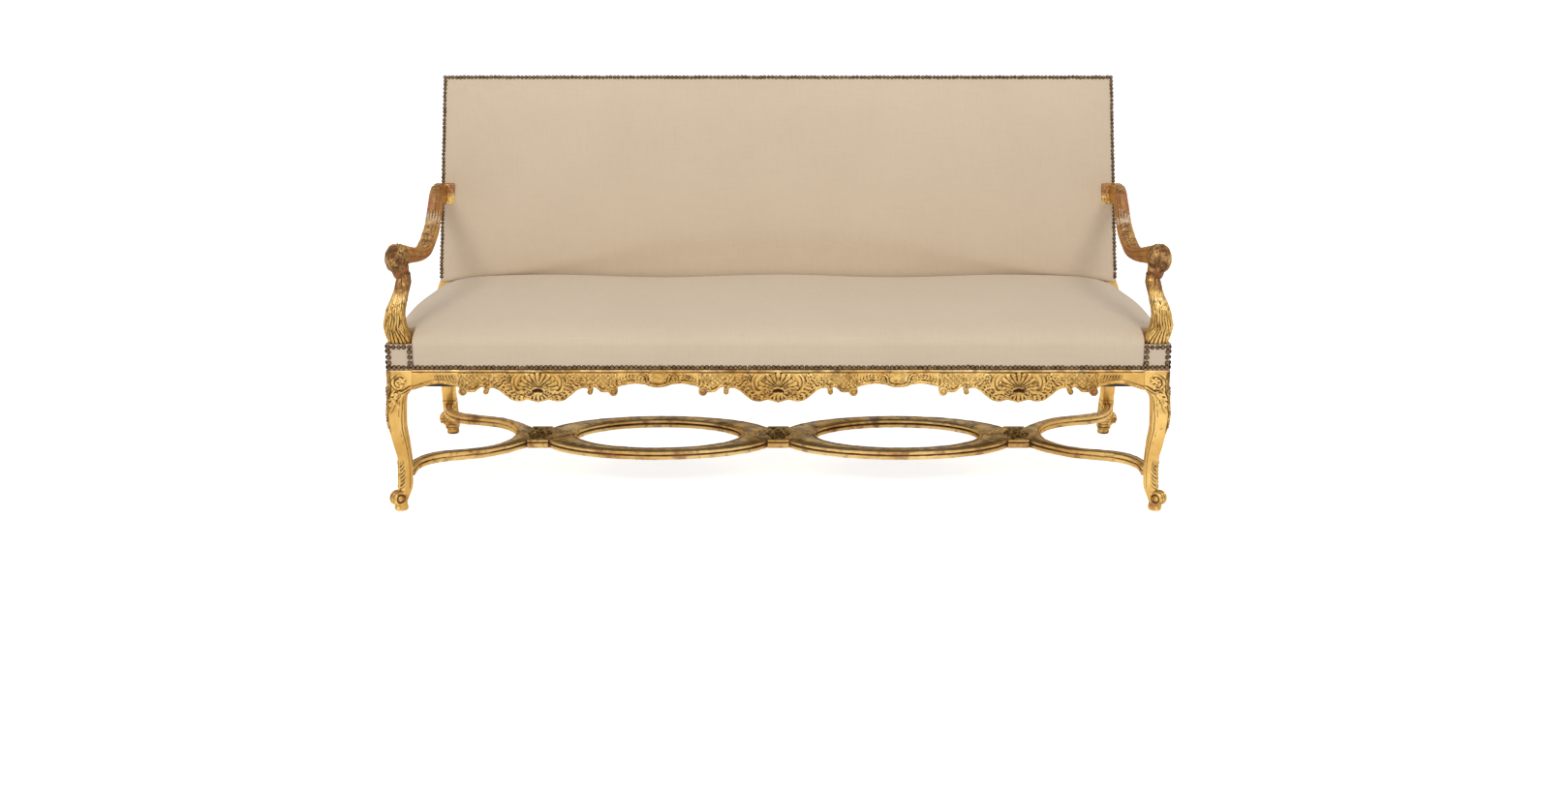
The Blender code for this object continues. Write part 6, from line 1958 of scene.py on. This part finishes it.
WORLD_STRENGTH = 0.57
FLOOR_GLOW = 0.76
FLOOR_REACH = 9
LAMP_PLACES = (("left_lamp", (-2.4, -3.8, 4.3)), ("right_lamp", (2.4, -3.8, 4.3)))
LAMP_SIZE = 1.7
LAMP_POWER = 78
LAMP_TARGET = (0, 0, 0.5)
CAMERA_PLACE = (0, -5.16598, 1.7043)
CAMERA_PITCH = math.radians(90 - 13.018)
SENSOR_MM = 36
LENS_MM = 44.214
LENS_SHIFT = (0.0037, -0.067)
FLOOR_TONES = ((0.80, 0.80, 0.80), (0.84, 0.84, 0.84))


def studio():
    """A pale world and floor that look white, two soft lamps, and the photograph's view."""
    scene = bpy.context.scene
    scene.view_settings.view_transform = "Standard"
    world = bpy.data.worlds.new("studio")
    scene.world = world
    world.use_nodes = True
    sky = Nodes(world.node_tree)
    sky.tree.nodes.clear()
    lit, white = (
        sky.add("Background", {"Color": (1, 1, 1), "Strength": strength}).outputs[0]
        for strength in (WORLD_STRENGTH, 1)
    )
    blend = sky.add("MixShader", {0: sky.seen(), 1: lit, 2: white})
    sky.add("OutputWorld", {"Surface": blend.outputs[0]})

    reach = FLOOR_REACH
    corners = [(-reach, -reach, 0), (reach, -reach, 0), (reach, reach, 0), (-reach, reach, 0)]
    floor = face_mesh("floor", corners, [(0, 1, 2, 3)])
    shade = Shade("floor")
    shade.set(Base_Color=shade.mix(shade.noise(3, 2), *FLOOR_TONES), Roughness=0.9)
    glow = shade.add("Emission", {"Strength": shade.times(shade.seen(), FLOOR_GLOW)})
    join = shade.add("AddShader", {0: shade.shader.outputs[0], 1: glow.outputs[0]})
    shade.feed(shade.tree.nodes["Material Output"].inputs["Surface"], join.outputs[0])
    floor.data.materials.append(shade.material)

    for name, place in LAMP_PLACES:
        lamp = bpy.data.lights.new(name, "AREA")
        lamp.shape = "SQUARE"
        lamp.size = LAMP_SIZE
        lamp.energy = LAMP_POWER
        hung = new_object(name, lamp)
        hung.location = place
        hung.rotation_euler = (Vector(LAMP_TARGET) - Vector(place)).to_track_quat("-Z", "Y").to_euler()

    lens = bpy.data.cameras.new("camera")
    lens.sensor_width = SENSOR_MM
    lens.lens = LENS_MM
    lens.shift_x, lens.shift_y = LENS_SHIFT
    camera = new_object("camera", lens)
    camera.location = CAMERA_PLACE
    camera.rotation_euler = (CAMERA_PITCH, 0, 0)
    scene.camera = camera


dress_nodes()
seat_pad()
back_pad()
seat_nails()
back_nails()
make_rails()
make_carved_woodwork()
make_stretcher()
corner_cloths()
seat_cloths()
outside_back()
make_webs()
studio()
